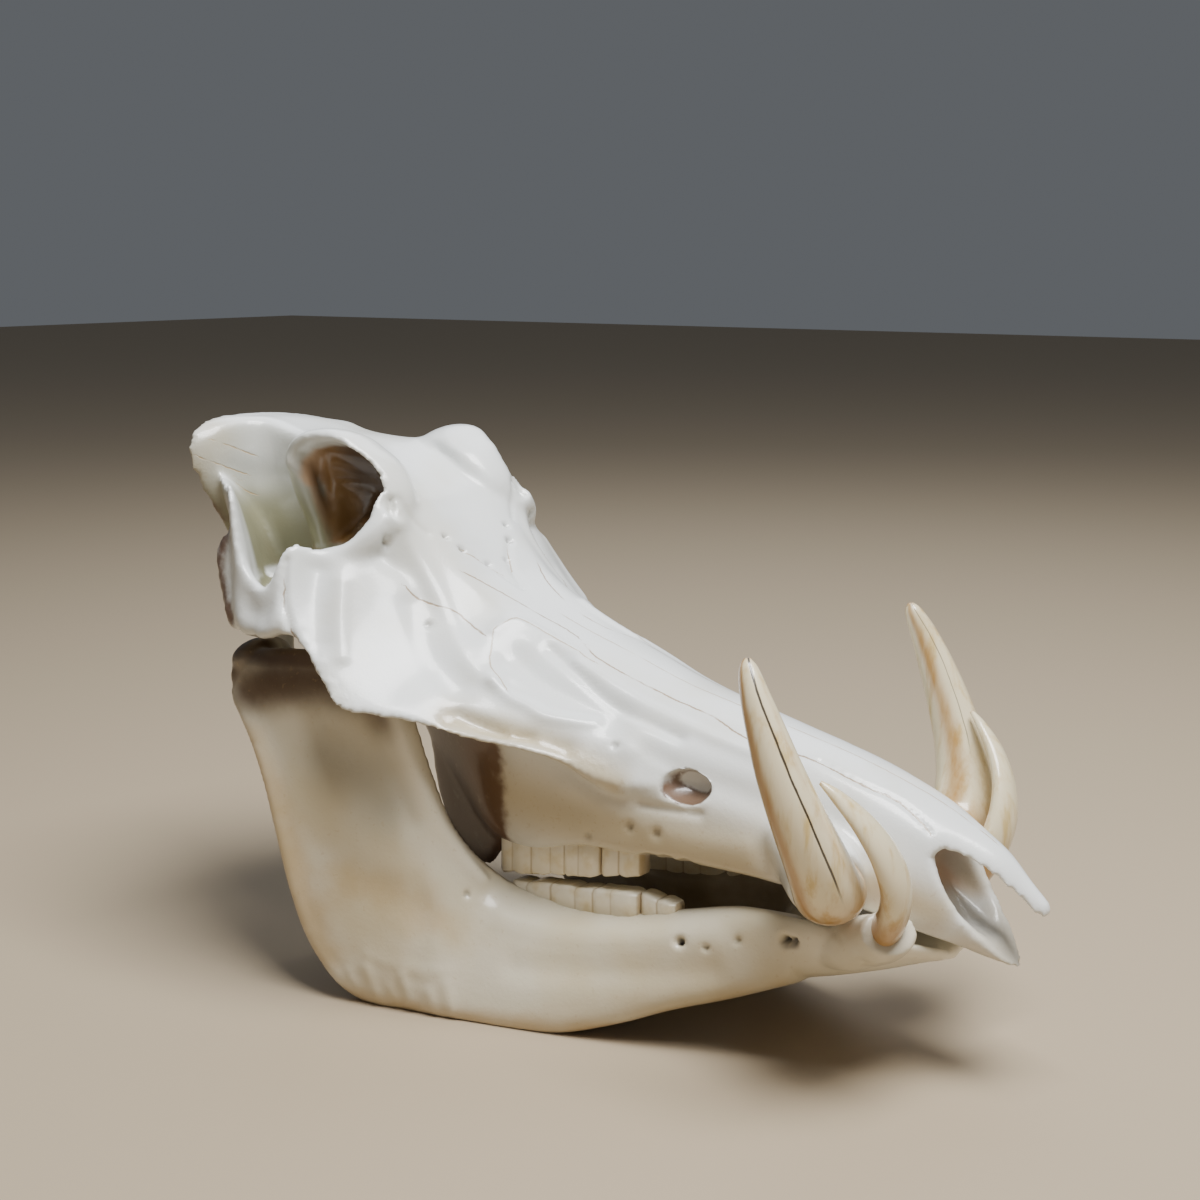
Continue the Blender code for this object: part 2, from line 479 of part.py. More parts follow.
def jaw_side():
    return loft([slab_ring(low, high, a, b, c) for low, high, a, b, c in JAW_SIDE])


def chin():
    return loft([whole_ring(x, half) for x, half in CHIN])


def lower_tusk_sheath():
    path = ((0.112, 0.026, 0.048), (0.124, 0.031, 0.053), (0.134, 0.036, 0.059))
    radii = ((0.008, 0.009), (0.010, 0.011), (0.009, 0.010))
    return sweep(path, radii, facing=(0, 0, 1), around=12)


def table_side():
    """A block whose top is the table: it takes the jaw's lower edges down to two flats."""
    block = bmesh.new()
    size = Matrix.Diagonal((0.5, 0.3, 0.1, 1))
    bmesh.ops.create_cube(block, size=1.0, matrix=Matrix.Translation((0, 0, -0.05)) @ size)
    return block


def mandible_solids():
    pairs = [jaw_side(), ball((-0.1380, 0.070, 0.1370), (0.0080, 0.0160, 0.0080)), lower_tusk_sheath()]
    return [chin()] + both(pairs)


# Teeth

UPPER_TUSK = (
    ((0.090, 0.0220, 0.0895), 0.0080, 0.0075),
    ((0.105, 0.0300, 0.0835), 0.0110, 0.0100),
    ((0.118, 0.0410, 0.0775), 0.0130, 0.0115),
    ((0.1255, 0.0540, 0.0800), 0.0132, 0.0114),
    ((0.1250, 0.0620, 0.0925), 0.0122, 0.0106),
    ((0.1200, 0.0670, 0.1085), 0.0106, 0.0095),
    ((0.1135, 0.0690, 0.1245), 0.0090, 0.0083),
    ((0.1075, 0.0690, 0.1390), 0.0073, 0.0068),
    ((0.1020, 0.0680, 0.1515), 0.0055, 0.0052),
    ((0.0980, 0.0660, 0.1605), 0.0035, 0.0034),
    ((0.0970, 0.0650, 0.1640), 0.0012, 0.0012),
)
LOWER_TUSK = (
    ((0.1260, 0.0290, 0.0530), 0.0055, 0.0062),
    ((0.1365, 0.0345, 0.0605), 0.0062, 0.0080),
    ((0.1445, 0.0405, 0.0715), 0.0058, 0.0088),
    ((0.1480, 0.0465, 0.0845), 0.0050, 0.0086),
    ((0.1460, 0.0525, 0.0975), 0.0040, 0.0074),
    ((0.1400, 0.0575, 0.1090), 0.0031, 0.0055),
    ((0.1320, 0.0612, 0.1180), 0.0021, 0.0031),
    ((0.1262, 0.0635, 0.1230), 0.0008, 0.0008),
)

# Cheek teeth: from back to front (x), inner and outer face (y), root and chewing ends (z) at both ends, and the
# number of folds along the crown.
MOLARS = {
    "upper_rear_molar": ((-0.0365, 0.0136), (0.0270, 0.0390), (0.0780, 0.0800), (0.0515, 0.0590), 6),
    "upper_front_molar": ((0.0140, 0.0325), (0.0270, 0.0385), (0.0800, 0.0820), (0.0592, 0.0628), 2),
    "lower_rear_molar": ((-0.0305, 0.0322), (0.0280, 0.0395), (0.0380, 0.0400), (0.0500, 0.0565), 6),
    "lower_front_molar": ((0.0326, 0.0490), (0.0275, 0.0375), (0.0410, 0.0450), (0.0568, 0.0545), 2),
}


def tusk(path, grow=0.0):
    points = [p for p, _, _ in path]
    radii = [(a + grow, b + grow) for _, a, b in path]
    return sweep(points, radii, facing=(1, 0, 0.2), steps=2, around=10)


def tooth_ring(x, share, faces, roots, crowns, width, grow=0.0):
    """A ring across a cheek tooth, this share of the way along it."""
    half = (faces[1] - faces[0]) / 2 * width + grow
    middle = (faces[0] + faces[1]) / 2
    root = roots[0] + (roots[1] - roots[0]) * share
    crown = crowns[0] + (crowns[1] - crowns[0]) * share
    up = math.copysign(1.0, root - crown)
    root, crown = root + up * grow, crown - up * grow
    shoulder = crown + up * 0.0012
    corners = ((-0.80, crown), (0.80, crown), (1.0, shoulder), (0.90, root), (-0.90, root), (-1.0, shoulder))
    return [Vector((x, middle + half * side, z)) for side, z in corners]


def molar(ends, faces, roots, crowns, folds):
    """A cheek tooth as a row of folds: it narrows between one fold and the next."""
    steps = 3 * folds
    rings = []
    for k in range(steps + 1):
        share = k / steps
        fold = abs(math.sin(math.pi * folds * share))
        end = min(1.0, 0.72 + min(share, 1 - share) * folds)
        x = ends[0] + (ends[1] - ends[0]) * share
        rings.append(tooth_ring(x, share, faces, roots, crowns, (0.88 + 0.12 * fold) * end))
    return loft(rings, along=1)


def molar_socket(ends, faces, roots, crowns, folds):
    """The plain trough that a cheek tooth stands in."""
    rings = [tooth_ring(end + side * SOCKET_GAP, share, faces, roots, crowns, 1.0, SOCKET_GAP)
             for end, side, share in ((ends[0], -1, 0.0), (ends[1], 1, 1.0))]
    return loft(rings, along=1)


# Materials and assembly

def material(name, colour, roughness):
    made = bpy.data.materials.new(name)
    made.use_nodes = True
    shader = made.node_tree.nodes["Principled BSDF"]
    shader.inputs["Base Color"].default_value = (*colour, 1.0)
    shader.inputs["Roughness"].default_value = roughness
    shader.inputs["Metallic"].default_value = 0.0
    return made


def lean_nape(obj):
    """The nape and brows lean a little to the left, more so towards the back."""
    for vert in obj.data.vertices:
        back = min(1.0, max(0.0, (-0.070 - vert.co.x) / 0.115))
        high = min(1.0, max(0.0, (vert.co.z - 0.175) / 0.040))
        high = high * high * (3 - 2 * high)
        vert.co.z -= NAPE_LEAN * vert.co.y * back * high


def finish(obj, finish_material):
    obj.data.transform(Matrix.Translation(MIDDLE_SHIFT))
    obj.data.materials.clear()
    obj.data.materials.append(finish_material)
    obj.data.shade_smooth()
    obj.data.set_sharp_from_angle(angle=math.radians(50))


def bone_object(name, solids, hollows):
    bone = grow_together(object_from(name, solids), BONE_VOXEL, smoothing=3)
    if hollows:
        hollow = grow_together(object_from(name + "_hollow", hollows), BONE_VOXEL, smoothing=1)
        cut(bone, hollow)
        grow_together(bone, BONE_VOXEL, smoothing=3)
    return bone


def side_shapes(shape, sign):
    return [shape if sign > 0 else mirrored(shape)]


def build():
    bone = material("bone", (0.80, 0.78, 0.72), 0.42)
    ivory = material("ivory", (0.74, 0.64, 0.44), 0.25)
    enamel = material("enamel", (0.78, 0.74, 0.62), 0.35)

    cranium = thin_out(bone_object("cranium", cranium_solids(), cranium_hollows()), CRANIUM_FACES)
    mandible = thin_out(bone_object("mandible", mandible_solids(), []), MANDIBLE_FACES)
    cut(mandible, object_from("table_side", [table_side()]))

    lean_nape(cranium)

    for side, sign in SIDES.items():
        for name, path, home in (("upper_tusk", UPPER_TUSK, cranium), ("lower_tusk", LOWER_TUSK, mandible)):
            cut(home, object_from("socket", side_shapes(tusk(path, SOCKET_GAP), sign)))
            finish(object_from(f"{name}_{side}", side_shapes(tusk(path), sign)), ivory)
        for name, sizes in MOLARS.items():
            home = cranium if name.startswith("upper") else mandible
            cut(home, object_from("socket", side_shapes(molar_socket(*sizes), sign)))
            finish(object_from(f"{name}_{side}", side_shapes(molar(*sizes), sign)), enamel)

    finish(cranium, bone)
    finish(mandible, bone)


remove_everything()
build()
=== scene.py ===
"""A warthog boar's skull on a plain pale table: its cranium, lower jaw, curling upper tusks, short lower
tusks and cheek teeth. All of it is cleaned, whitened bone and tooth under a thin clear lacquer.

Sizes are in metres. +X runs forward along the snout and +Y to the animal's left. Side pieces are described
for the left half, with y as the distance from the middle plane.
"""

import math

import bmesh
import bpy
import numpy as np
from mathutils import Matrix, Vector, noise
from mathutils.bvhtree import BVHTree


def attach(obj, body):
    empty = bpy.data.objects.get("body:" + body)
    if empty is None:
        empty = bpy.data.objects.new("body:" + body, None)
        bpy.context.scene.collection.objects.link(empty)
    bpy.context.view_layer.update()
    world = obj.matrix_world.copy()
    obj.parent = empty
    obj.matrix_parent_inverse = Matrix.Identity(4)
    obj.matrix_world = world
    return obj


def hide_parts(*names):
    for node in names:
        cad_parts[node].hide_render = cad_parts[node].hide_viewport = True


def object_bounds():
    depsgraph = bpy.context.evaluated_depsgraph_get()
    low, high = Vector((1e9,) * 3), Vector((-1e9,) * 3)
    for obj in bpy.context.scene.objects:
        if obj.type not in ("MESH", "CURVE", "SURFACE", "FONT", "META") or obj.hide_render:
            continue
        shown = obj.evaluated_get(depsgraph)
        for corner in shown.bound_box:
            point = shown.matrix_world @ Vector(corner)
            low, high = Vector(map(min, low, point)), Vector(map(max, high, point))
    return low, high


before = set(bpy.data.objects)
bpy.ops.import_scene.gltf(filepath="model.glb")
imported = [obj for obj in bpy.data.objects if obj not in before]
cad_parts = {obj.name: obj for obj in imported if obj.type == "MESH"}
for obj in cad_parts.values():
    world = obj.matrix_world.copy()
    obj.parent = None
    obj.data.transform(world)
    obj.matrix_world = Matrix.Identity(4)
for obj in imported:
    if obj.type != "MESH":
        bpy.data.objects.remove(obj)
cad_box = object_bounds()


# The cranium: snout, face, cheek plates, eye sockets and the flared nape. One piece of bone, because a grown
# boar's skull bones have knitted together and only their seams still show. It was boiled clean, whitened and
# lacquered.

CRANIUM_GRAIN = 0.00145  # the mesh's step on the cranium
NAPE_LEAN = 0.12  # fall of the nape to the left, for each metre to the side

# Half outlines from the nose back: where, how far the lower points lean forward, and (y, z) from the top middle
# round to the palate's middle.
SNOUT_AND_BRAINCASE = (
    (0.1885, 0.0, ((0, 0.0722), (0.0012, 0.0719), (0.0022, 0.0712), (0.0027, 0.0702), (0.0027, 0.0692),
                   (0.0023, 0.0684), (0.0015, 0.0679), (0.0008, 0.0677), (0, 0.0677))),
    (0.180, 0.0, ((0, 0.0800), (0.0028, 0.0784), (0.0050, 0.0755), (0.0064, 0.0700), (0.0062, 0.0620),
                  (0.0052, 0.0540), (0.0036, 0.0490), (0.0016, 0.0475), (0, 0.0475))),
    (0.170, 0.0, ((0, 0.0890), (0.0042, 0.0873), (0.0078, 0.0838), (0.0105, 0.0760), (0.0118, 0.0670),
                  (0.0118, 0.0585), (0.0095, 0.0510), (0.0045, 0.0485), (0, 0.0490))),
    (0.157, 0.0, ((0, 0.0968), (0.0060, 0.0952), (0.0110, 0.0912), (0.0150, 0.0825), (0.0172, 0.0725),
                  (0.0176, 0.0635), (0.0148, 0.0558), (0.0072, 0.0522), (0, 0.0532))),
    (0.143, 0.0, ((0, 0.1038), (0.0095, 0.1018), (0.0170, 0.0966), (0.0208, 0.0880), (0.0238, 0.0775),
                  (0.0245, 0.0685), (0.0225, 0.0605), (0.0110, 0.0570), (0, 0.0595))),
    (0.125, 0.0, ((0, 0.1105), (0.0110, 0.1088), (0.0185, 0.1040), (0.0240, 0.0945), (0.0290, 0.0830),
                  (0.0310, 0.0740), (0.0290, 0.0665), (0.0140, 0.0632), (0, 0.0652))),
    (0.105, 0.0, ((0, 0.1165), (0.0118, 0.1150), (0.0188, 0.1105), (0.0262, 0.1005), (0.0322, 0.0885),
                  (0.0348, 0.0785), (0.0332, 0.0700), (0.0160, 0.0670), (0, 0.0690))),
    (0.080, 0.0, ((0, 0.1225), (0.0125, 0.1210), (0.0195, 0.1168), (0.0278, 0.1075), (0.0340, 0.0955),
                  (0.0366, 0.0835), (0.0356, 0.0725), (0.0180, 0.0705), (0, 0.0725))),
    (0.055, 0.0, ((0, 0.1285), (0.0135, 0.1270), (0.0212, 0.1228), (0.0312, 0.1130), (0.0378, 0.1000),
                  (0.0396, 0.0865), (0.0385, 0.0735), (0.0190, 0.0725), (0, 0.0750))),
    (0.030, 0.0, ((0, 0.1345), (0.0150, 0.1330), (0.0240, 0.1280), (0.0350, 0.1195), (0.0425, 0.1060),
                  (0.0422, 0.0890), (0.0398, 0.0725), (0.0190, 0.0745), (0, 0.0770))),
    (0.005, 0.0, ((0, 0.1430), (0.0170, 0.1415), (0.0280, 0.1360), (0.0400, 0.1270), (0.0465, 0.1120),
                  (0.0434, 0.0920), (0.0398, 0.0715), (0.0190, 0.0755), (0, 0.0785))),
    (-0.020, 0.0, ((0, 0.1510), (0.0200, 0.1500), (0.0320, 0.1435), (0.0450, 0.1345), (0.0495, 0.1180),
                   (0.0446, 0.0960), (0.0396, 0.0655), (0.0180, 0.0765), (0, 0.0800))),
    (-0.040, 0.0, ((0, 0.1590), (0.0220, 0.1585), (0.0350, 0.1515), (0.0480, 0.1425), (0.0510, 0.1270),
                   (0.0445, 0.1040), (0.0390, 0.0690), (0.0180, 0.0790), (0, 0.0830))),
    (-0.060, 0.0, ((0, 0.1700), (0.0230, 0.1705), (0.0365, 0.1620), (0.0480, 0.1510), (0.0495, 0.1370),
                   (0.0420, 0.1160), (0.0330, 0.0830), (0.0160, 0.0820), (0, 0.0880))),
    (-0.078, 0.0, ((0, 0.1865), (0.0225, 0.1885), (0.0370, 0.1820), (0.0465, 0.1680), (0.0450, 0.1520),
                   (0.0380, 0.1320), (0.0290, 0.0980), (0.0150, 0.0900), (0, 0.0960))),
    (-0.087, 0.0, ((0, 0.1950), (0.0225, 0.1985), (0.0400, 0.1990), (0.0490, 0.1870), (0.0430, 0.1660),
                   (0.0365, 0.1440), (0.0280, 0.1100), (0.0145, 0.1010), (0, 0.1040))),
    (-0.097, 0.0, ((0, 0.2040), (0.0220, 0.2075), (0.0425, 0.2150), (0.0515, 0.2040), (0.0420, 0.1820),
                   (0.0350, 0.1560), (0.0270, 0.1220), (0.0140, 0.1130), (0, 0.1140))),
    (-0.120, 0.0, ((0, 0.2165), (0.0200, 0.2190), (0.0380, 0.2240), (0.0400, 0.2130), (0.0320, 0.1900),
                   (0.0310, 0.1660), (0.0270, 0.1420), (0.0140, 0.1340), (0, 0.1340))),
    (-0.140, 0.0, ((0, 0.2225), (0.0175, 0.2235), (0.0330, 0.2230), (0.0345, 0.2140), (0.0300, 0.1960),
                   (0.0310, 0.1720), (0.0280, 0.1520), (0.0150, 0.1430), (0, 0.1430))),
    (-0.158, 0.06, ((0, 0.2265), (0.0160, 0.2265), (0.0275, 0.2250), (0.0290, 0.2150), (0.0285, 0.1990),
                    (0.0325, 0.1780), (0.0300, 0.1580), (0.0160, 0.1480), (0, 0.1480))),
    (-0.174, 0.12, ((0, 0.2310), (0.0170, 0.2305), (0.0300, 0.2290), (0.0335, 0.2190), (0.0340, 0.2040),
                    (0.0360, 0.1850), (0.0360, 0.1680), (0.0200, 0.1530), (0, 0.1530))),
    (-0.182, 0.16, ((0, 0.2320), (0.0240, 0.2308), (0.0440, 0.2275), (0.0545, 0.2195), (0.0550, 0.2070),
                    (0.0480, 0.1880), (0.0400, 0.1710), (0.0210, 0.1570), (0, 0.1560))),
    (-0.190, 0.20, ((0, 0.2332), (0.0260, 0.2315), (0.0490, 0.2275), (0.0620, 0.2195), (0.0640, 0.2075),
                    (0.0530, 0.1900), (0.0410, 0.1740), (0.0220, 0.1600), (0, 0.1580))),
)

# The cheek plate from the facial crest back to the ear: (x, y, z) of its lower and upper edges, then its
# thickness low, at mid height and high.
CHEEK_PLATE = (
    ((0.042, 0.0400, 0.1010), (0.050, 0.034, 0.108), 0.006, 0.008, 0.006),
    ((0.030, 0.0430, 0.0995), (0.034, 0.034, 0.116), 0.010, 0.012, 0.010),
    ((0.018, 0.0465, 0.1020), (0.022, 0.034, 0.121), 0.013, 0.014, 0.010),
    ((0.008, 0.0510, 0.1075), (0.010, 0.035, 0.126), 0.014, 0.015, 0.010),
    ((-0.006, 0.0590, 0.1125), (-0.006, 0.036, 0.132), 0.014, 0.015, 0.010),
    ((-0.028, 0.0695, 0.1165), (-0.026, 0.037, 0.140), 0.012, 0.013, 0.010),
    ((-0.045, 0.0790, 0.1220), (-0.046, 0.039, 0.149), 0.010, 0.012, 0.010),
    ((-0.060, 0.0880, 0.1245), (-0.064, 0.041, 0.160), 0.009, 0.010, 0.010),
    ((-0.073, 0.0950, 0.1270), (-0.080, 0.045, 0.175), 0.008, 0.010, 0.010),
    ((-0.084, 0.0930, 0.1370), (-0.093, 0.056, 0.185), 0.008, 0.010, 0.008),
    ((-0.096, 0.0910, 0.1490), (-0.105, 0.067, 0.186), 0.009, 0.011, 0.007),
    ((-0.104, 0.0905, 0.1530), (-0.112, 0.079, 0.188), 0.012, 0.011, 0.006),
    ((-0.112, 0.0900, 0.1505), (-0.1175, 0.086, 0.1715), 0.013, 0.010, 0.007),
    ((-0.121, 0.0870, 0.1495), (-0.127, 0.086, 0.1745), 0.014, 0.010, 0.006),
    ((-0.128, 0.0865, 0.1495), (-0.1345, 0.0850, 0.1850), 0.014, 0.011, 0.006),
    ((-0.134, 0.0830, 0.1500), (-0.1405, 0.0825, 0.2020), 0.014, 0.011, 0.005),
    ((-0.139, 0.0760, 0.1515), (-0.1450, 0.0795, 0.2065), 0.015, 0.012, 0.005),
    ((-0.1455, 0.0660, 0.1520), (-0.1525, 0.0720, 0.2040), 0.016, 0.012, 0.006),
    ((-0.151, 0.0540, 0.1530), (-0.1630, 0.0640, 0.2040), 0.018, 0.012, 0.008),
    ((-0.155, 0.0400, 0.1560), (-0.1740, 0.0550, 0.2050), 0.022, 0.016, 0.010),
    ((-0.160, 0.0280, 0.1600), (-0.1830, 0.0440, 0.2060), 0.022, 0.020, 0.014),
)

# The brow, a shelf of bone from the front of the eye socket round to the hook behind it: place, half width and
# half thickness.
BROW = (
    ((-0.0875, 0.0390, 0.1900), 0.0080, 0.0045),
    ((-0.0905, 0.0335, 0.2025), 0.0090, 0.0045),
    ((-0.0955, 0.0320, 0.2105), 0.0105, 0.0045),
    ((-0.1010, 0.0320, 0.2160), 0.0120, 0.0045),
    ((-0.1070, 0.0335, 0.2200), 0.0130, 0.0045),
    ((-0.1140, 0.0350, 0.2240), 0.0135, 0.0046),
    ((-0.1230, 0.0370, 0.2245), 0.0135, 0.0047),
    ((-0.1320, 0.0395, 0.2215), 0.0130, 0.0047),
    ((-0.1370, 0.0430, 0.2155), 0.0110, 0.0042),
    ((-0.1375, 0.0480, 0.2085), 0.0065, 0.0028),
)

# The rim of the eye socket from the tip of the hook over the top, round the front and back inside the cheek
# arch. The socket runs inwards from it in steps: share of the rim's size, and distance in.
EYE_RIM = (
    (-0.1345, 0.0550, 0.2070), (-0.1365, 0.0550, 0.2125), (-0.1338, 0.0540, 0.2183), (-0.1281, 0.0520, 0.2232),
    (-0.1202, 0.0500, 0.2252), (-0.1125, 0.0465, 0.2248), (-0.1044, 0.0450, 0.2215), (-0.0975, 0.0430, 0.2160),
    (-0.0925, 0.0425, 0.2080), (-0.0925, 0.0465, 0.1998), (-0.0935, 0.0530, 0.1925), (-0.0985, 0.0590, 0.1865),
    (-0.1066, 0.0615, 0.1845), (-0.1150, 0.0600, 0.1840), (-0.1250, 0.0480, 0.1800), (-0.1315, 0.0350, 0.1810),
    (-0.1325, 0.0375, 0.1900), (-0.1335, 0.0415, 0.1990), (-0.1335, 0.0480, 0.2065),
)
EYE_MIDDLE = (-0.110, 0.046, 0.203)
EYE_STEPS = ((0.90, 0.007), (0.72, 0.015), (0.42, 0.0205), (0.10, 0.0225))
# The nose opening seen from the side (x, z), the passage behind it as half outlines from the front back, and
# the infraorbital hole's middle and radii.
NOSTRIL_NOTCH = ((0.1475, 0.0880), (0.1505, 0.0903), (0.1550, 0.0892), (0.1600, 0.0872), (0.1650, 0.0845),
                 (0.1700, 0.0812), (0.1750, 0.0774), (0.1800, 0.0730), (0.1850, 0.0688), (0.2050, 0.0500),
                 (0.2050, 0.0350), (0.1765, 0.0475), (0.1735, 0.0503), (0.1676, 0.0572), (0.1634, 0.0612),
                 (0.1592, 0.0664), (0.1554, 0.0720), (0.1504, 0.0809), (0.1482, 0.0860))
NASAL_TUNNEL = (
    (0.205, ((0, 0.0550), (0.0030, 0.0540), (0.0040, 0.0530), (0.0040, 0.0500), (0.0030, 0.0450), (0, 0.0440))),
    (0.182, ((0, 0.0715), (0.0028, 0.0705), (0.0045, 0.0670), (0.0050, 0.0610), (0.0040, 0.0540), (0, 0.0530))),
    (0.168, ((0, 0.0815), (0.0040, 0.0805), (0.0075, 0.0750), (0.0086, 0.0660), (0.0066, 0.0575), (0, 0.0560))),
    (0.153, ((0, 0.0915), (0.0065, 0.0900), (0.0115, 0.0830), (0.0138, 0.0735), (0.0115, 0.0640), (0, 0.0610))),
    (0.135, ((0, 0.0975), (0.0070, 0.0960), (0.0115, 0.0895), (0.0130, 0.0810), (0.0110, 0.0740), (0, 0.0710))),
    (0.118, ((0, 0.0980), (0.0040, 0.0970), (0.0060, 0.0930), (0.0060, 0.0880), (0.0040, 0.0850), (0, 0.0840))),
)
FORAMEN = ((0.0530, 0.0385, 0.1025), (0.0088, 0.012, 0.0058))


def smooth_line(points, steps, closed=False):
    """Points on a smooth curve through the given points, with so many steps from one to the next."""
    count = len(points)
    last = count if closed else count - 1
    line = []
    for i in range(last):
        ends = [points[(i + k) % count] if closed else points[min(max(i + k, 0), count - 1)]
                for k in (-1, 0, 1, 2)]
        before, start, end, after = ends
        for k in range(steps):
            t = k / steps
            line.append(0.5 * (2 * start + (end - before) * t
                               + (2 * before - 5 * start + 4 * end - after) * t * t
                               + (3 * start - before - 3 * end + after) * t ** 3))
    if not closed:
        line.append(points[-1].copy())
    return line


def loft(rings, along=6):
    """A closed solid through rings of points: one face pulled from ring to ring."""
    lines = [smooth_line(list(line), along) for line in zip(*rings)]
    rings = list(zip(*lines))
    shape = bmesh.new()
    face = shape.faces.new([shape.verts.new(point) for point in rings[0]])
    for ring in rings[1:]:
        pulled = bmesh.ops.extrude_face_region(shape, geom=[face, *face.edges])
        face = next(part for part in pulled["geom"] if isinstance(part, bmesh.types.BMFace))
        for vert, point in zip(face.verts, ring):
            vert.co = point
    ends = [end for end in shape.faces if len(end.verts) > 4]
    bmesh.ops.triangulate(shape, faces=ends)
    bmesh.ops.recalc_face_normals(shape, faces=shape.faces)
    return shape


def whole_ring(x, half, lean=0.0, around=5):
    """A ring across the skull at x, from half an outline: (y, z) from the top middle to the bottom middle.
    Lean moves the lower points forward."""
    top = half[0][1]
    side = [Vector((x + lean * (top - z), y, z)) for y, z in half]
    other = [Vector((p.x, -p.y, p.z)) for p in reversed(side[1:-1])]
    return smooth_line(side + other, around, closed=True)


def slab_ring(low, high, thick_low, thick_mid, thick_high, bulge=0.0, around=4):
    """A ring round a plate of bone between its low and high edges. Thickness runs sideways, and bulge moves
    its middle outwards."""
    low, high = Vector(low), Vector(high)
    out = Vector((0, 1, 0))
    shares = (0.0, 0.12, 0.5, 0.88, 1.0)
    halves = (0.0, thick_low / 2, thick_mid / 2, thick_high / 2, 0.0)
    spine = [low.lerp(high, share) + out * bulge * 4 * share * (1 - share) for share in shares]
    outer = [p + out * h for p, h in zip(spine, halves)]
    inner = [p - out * h for p, h in zip(spine, halves)]
    return smooth_line(outer + inner[-2:0:-1], around, closed=True)


def sweep(path, radii, facing, steps=6, around=24):
    """A solid along a path. Radii are (towards facing, across) at each point of the path."""
    path, facing = [Vector(p) for p in path], Vector(facing)
    sizes = [Vector((a, b, 0)) for a, b in radii]
    path, sizes = smooth_line(path, steps), smooth_line(sizes, steps)
    rings = []
    for i, (centre, size) in enumerate(zip(path, sizes)):
        along = (path[min(i + 1, len(path) - 1)] - path[max(i - 1, 0)]).normalized()
        up = (facing - along * facing.dot(along)).normalized()
        across = along.cross(up)
        angles = [2 * math.pi * k / around for k in range(around)]
        rings.append([centre + up * size.x * math.cos(a) + across * size.y * math.sin(a) for a in angles])
    return loft(rings, along=1)


def ball(centre, radii, turn=()):
    """An ellipsoid, turned by degrees about the named axes."""
    shape = bmesh.new()
    bmesh.ops.create_uvsphere(shape, u_segments=48, v_segments=24, radius=1.0)
    place = Matrix.Translation(centre)
    for axis, degrees in turn:
        place = place @ Matrix.Rotation(math.radians(degrees), 4, axis)
    bmesh.ops.transform(shape, matrix=place @ Matrix.Diagonal((*radii, 1.0)), verts=shape.verts)
    return shape


def mirrored(shape):
    """The same shape on the other side of the middle plane."""
    other = shape.copy()
    bmesh.ops.transform(other, matrix=Matrix.Diagonal((1, -1, 1, 1)), verts=other.verts)
    bmesh.ops.reverse_faces(other, faces=other.faces)
    return other


def both(shapes):
    """These left-hand shapes and their mirror images."""
    return list(shapes) + [mirrored(shape) for shape in shapes]


def object_from(name, shapes):
    """One object that holds all these shapes, which are used up."""
    mesh = bpy.data.meshes.new(name)
    joined = bmesh.new()
    for shape in shapes:
        part = bpy.data.meshes.new("part")
        shape.to_mesh(part)
        shape.free()
        joined.from_mesh(part)
        bpy.data.meshes.remove(part)
    joined.to_mesh(mesh)
    joined.free()
    obj = bpy.data.objects.new(name, mesh)
    bpy.context.scene.collection.objects.link(obj)
    return obj


def apply_modifiers(obj):
    """The object with its modifiers worked into its mesh."""
    graph = bpy.context.evaluated_depsgraph_get()
    mesh = bpy.data.meshes.new_from_object(obj.evaluated_get(graph))
    obj.modifiers.clear()
    obj.data = mesh
    return obj


def grow_together(obj, grain, smoothing):
    """Overlapping shapes fused to one skin of bone and smoothed where they meet."""
    remesh = obj.modifiers.new("Grow together", "REMESH")
    remesh.mode = "VOXEL"
    remesh.voxel_size = grain
    smooth = obj.modifiers.new("Smooth", "SMOOTH")
    smooth.factor = 0.5
    smooth.iterations = smoothing
    return apply_modifiers(obj)


def cut(obj, tool):
    """The tool's solid taken out of the object. The tool is used up."""
    boolean = obj.modifiers.new("Cut", "BOOLEAN")
    boolean.operation = "DIFFERENCE"
    boolean.object = tool
    boolean.solver = "EXACT"
    apply_modifiers(obj)
    bpy.data.objects.remove(tool)


def bone_object(name, solids, hollows, grain):
    """One bone: its solids grown together, then its hollows cut out and the edges of the cuts softened."""
    bone = grow_together(object_from(name, solids), grain, smoothing=4)
    if hollows:
        hollow = grow_together(object_from(name + "_hollow", hollows), grain, smoothing=1)
        cut(bone, hollow)
        grow_together(bone, grain, smoothing=3)
    return bone


plate = loft([slab_ring(low, high, a, b, c, bulge=-0.0025) for low, high, a, b, c in CHEEK_PLATE])
brow = sweep([p for p, _, _ in BROW], [(a, b) for _, a, b in BROW], facing=(0, 1, 0.2))
socket_back = sweep(
    ((-0.1385, 0.044, 0.212), (-0.1385, 0.0385, 0.200), (-0.1370, 0.034, 0.190), (-0.136, 0.031, 0.178)),
    ((0.005, 0.006),) * 4, facing=(0, 1, 0))
socket_front = sweep(((-0.0885, 0.0440, 0.197), (-0.0905, 0.0510, 0.190), (-0.0960, 0.0580, 0.1835),
                      (-0.1050, 0.0650, 0.1810)),
                     ((0.006, 0.006), (0.006, 0.006), (0.005, 0.005), (0.0035, 0.0035)), facing=(0, 1, 0))
mastoid_edge = sweep(((-0.1470, 0.078, 0.188), (-0.1475, 0.0795, 0.180), (-0.1445, 0.081, 0.169),
                      (-0.139, 0.084, 0.159), (-0.134, 0.0865, 0.152)),
                     ((0.0020, 0.0030), (0.0032, 0.0055), (0.0035, 0.0060), (0.0035, 0.0060), (0.0030, 0.0040)),
                     facing=(0, 1, 0))
rim = smooth_line([Vector(p) for p in EYE_RIM], 4, closed=True)
middle = Vector(EYE_MIDDLE)
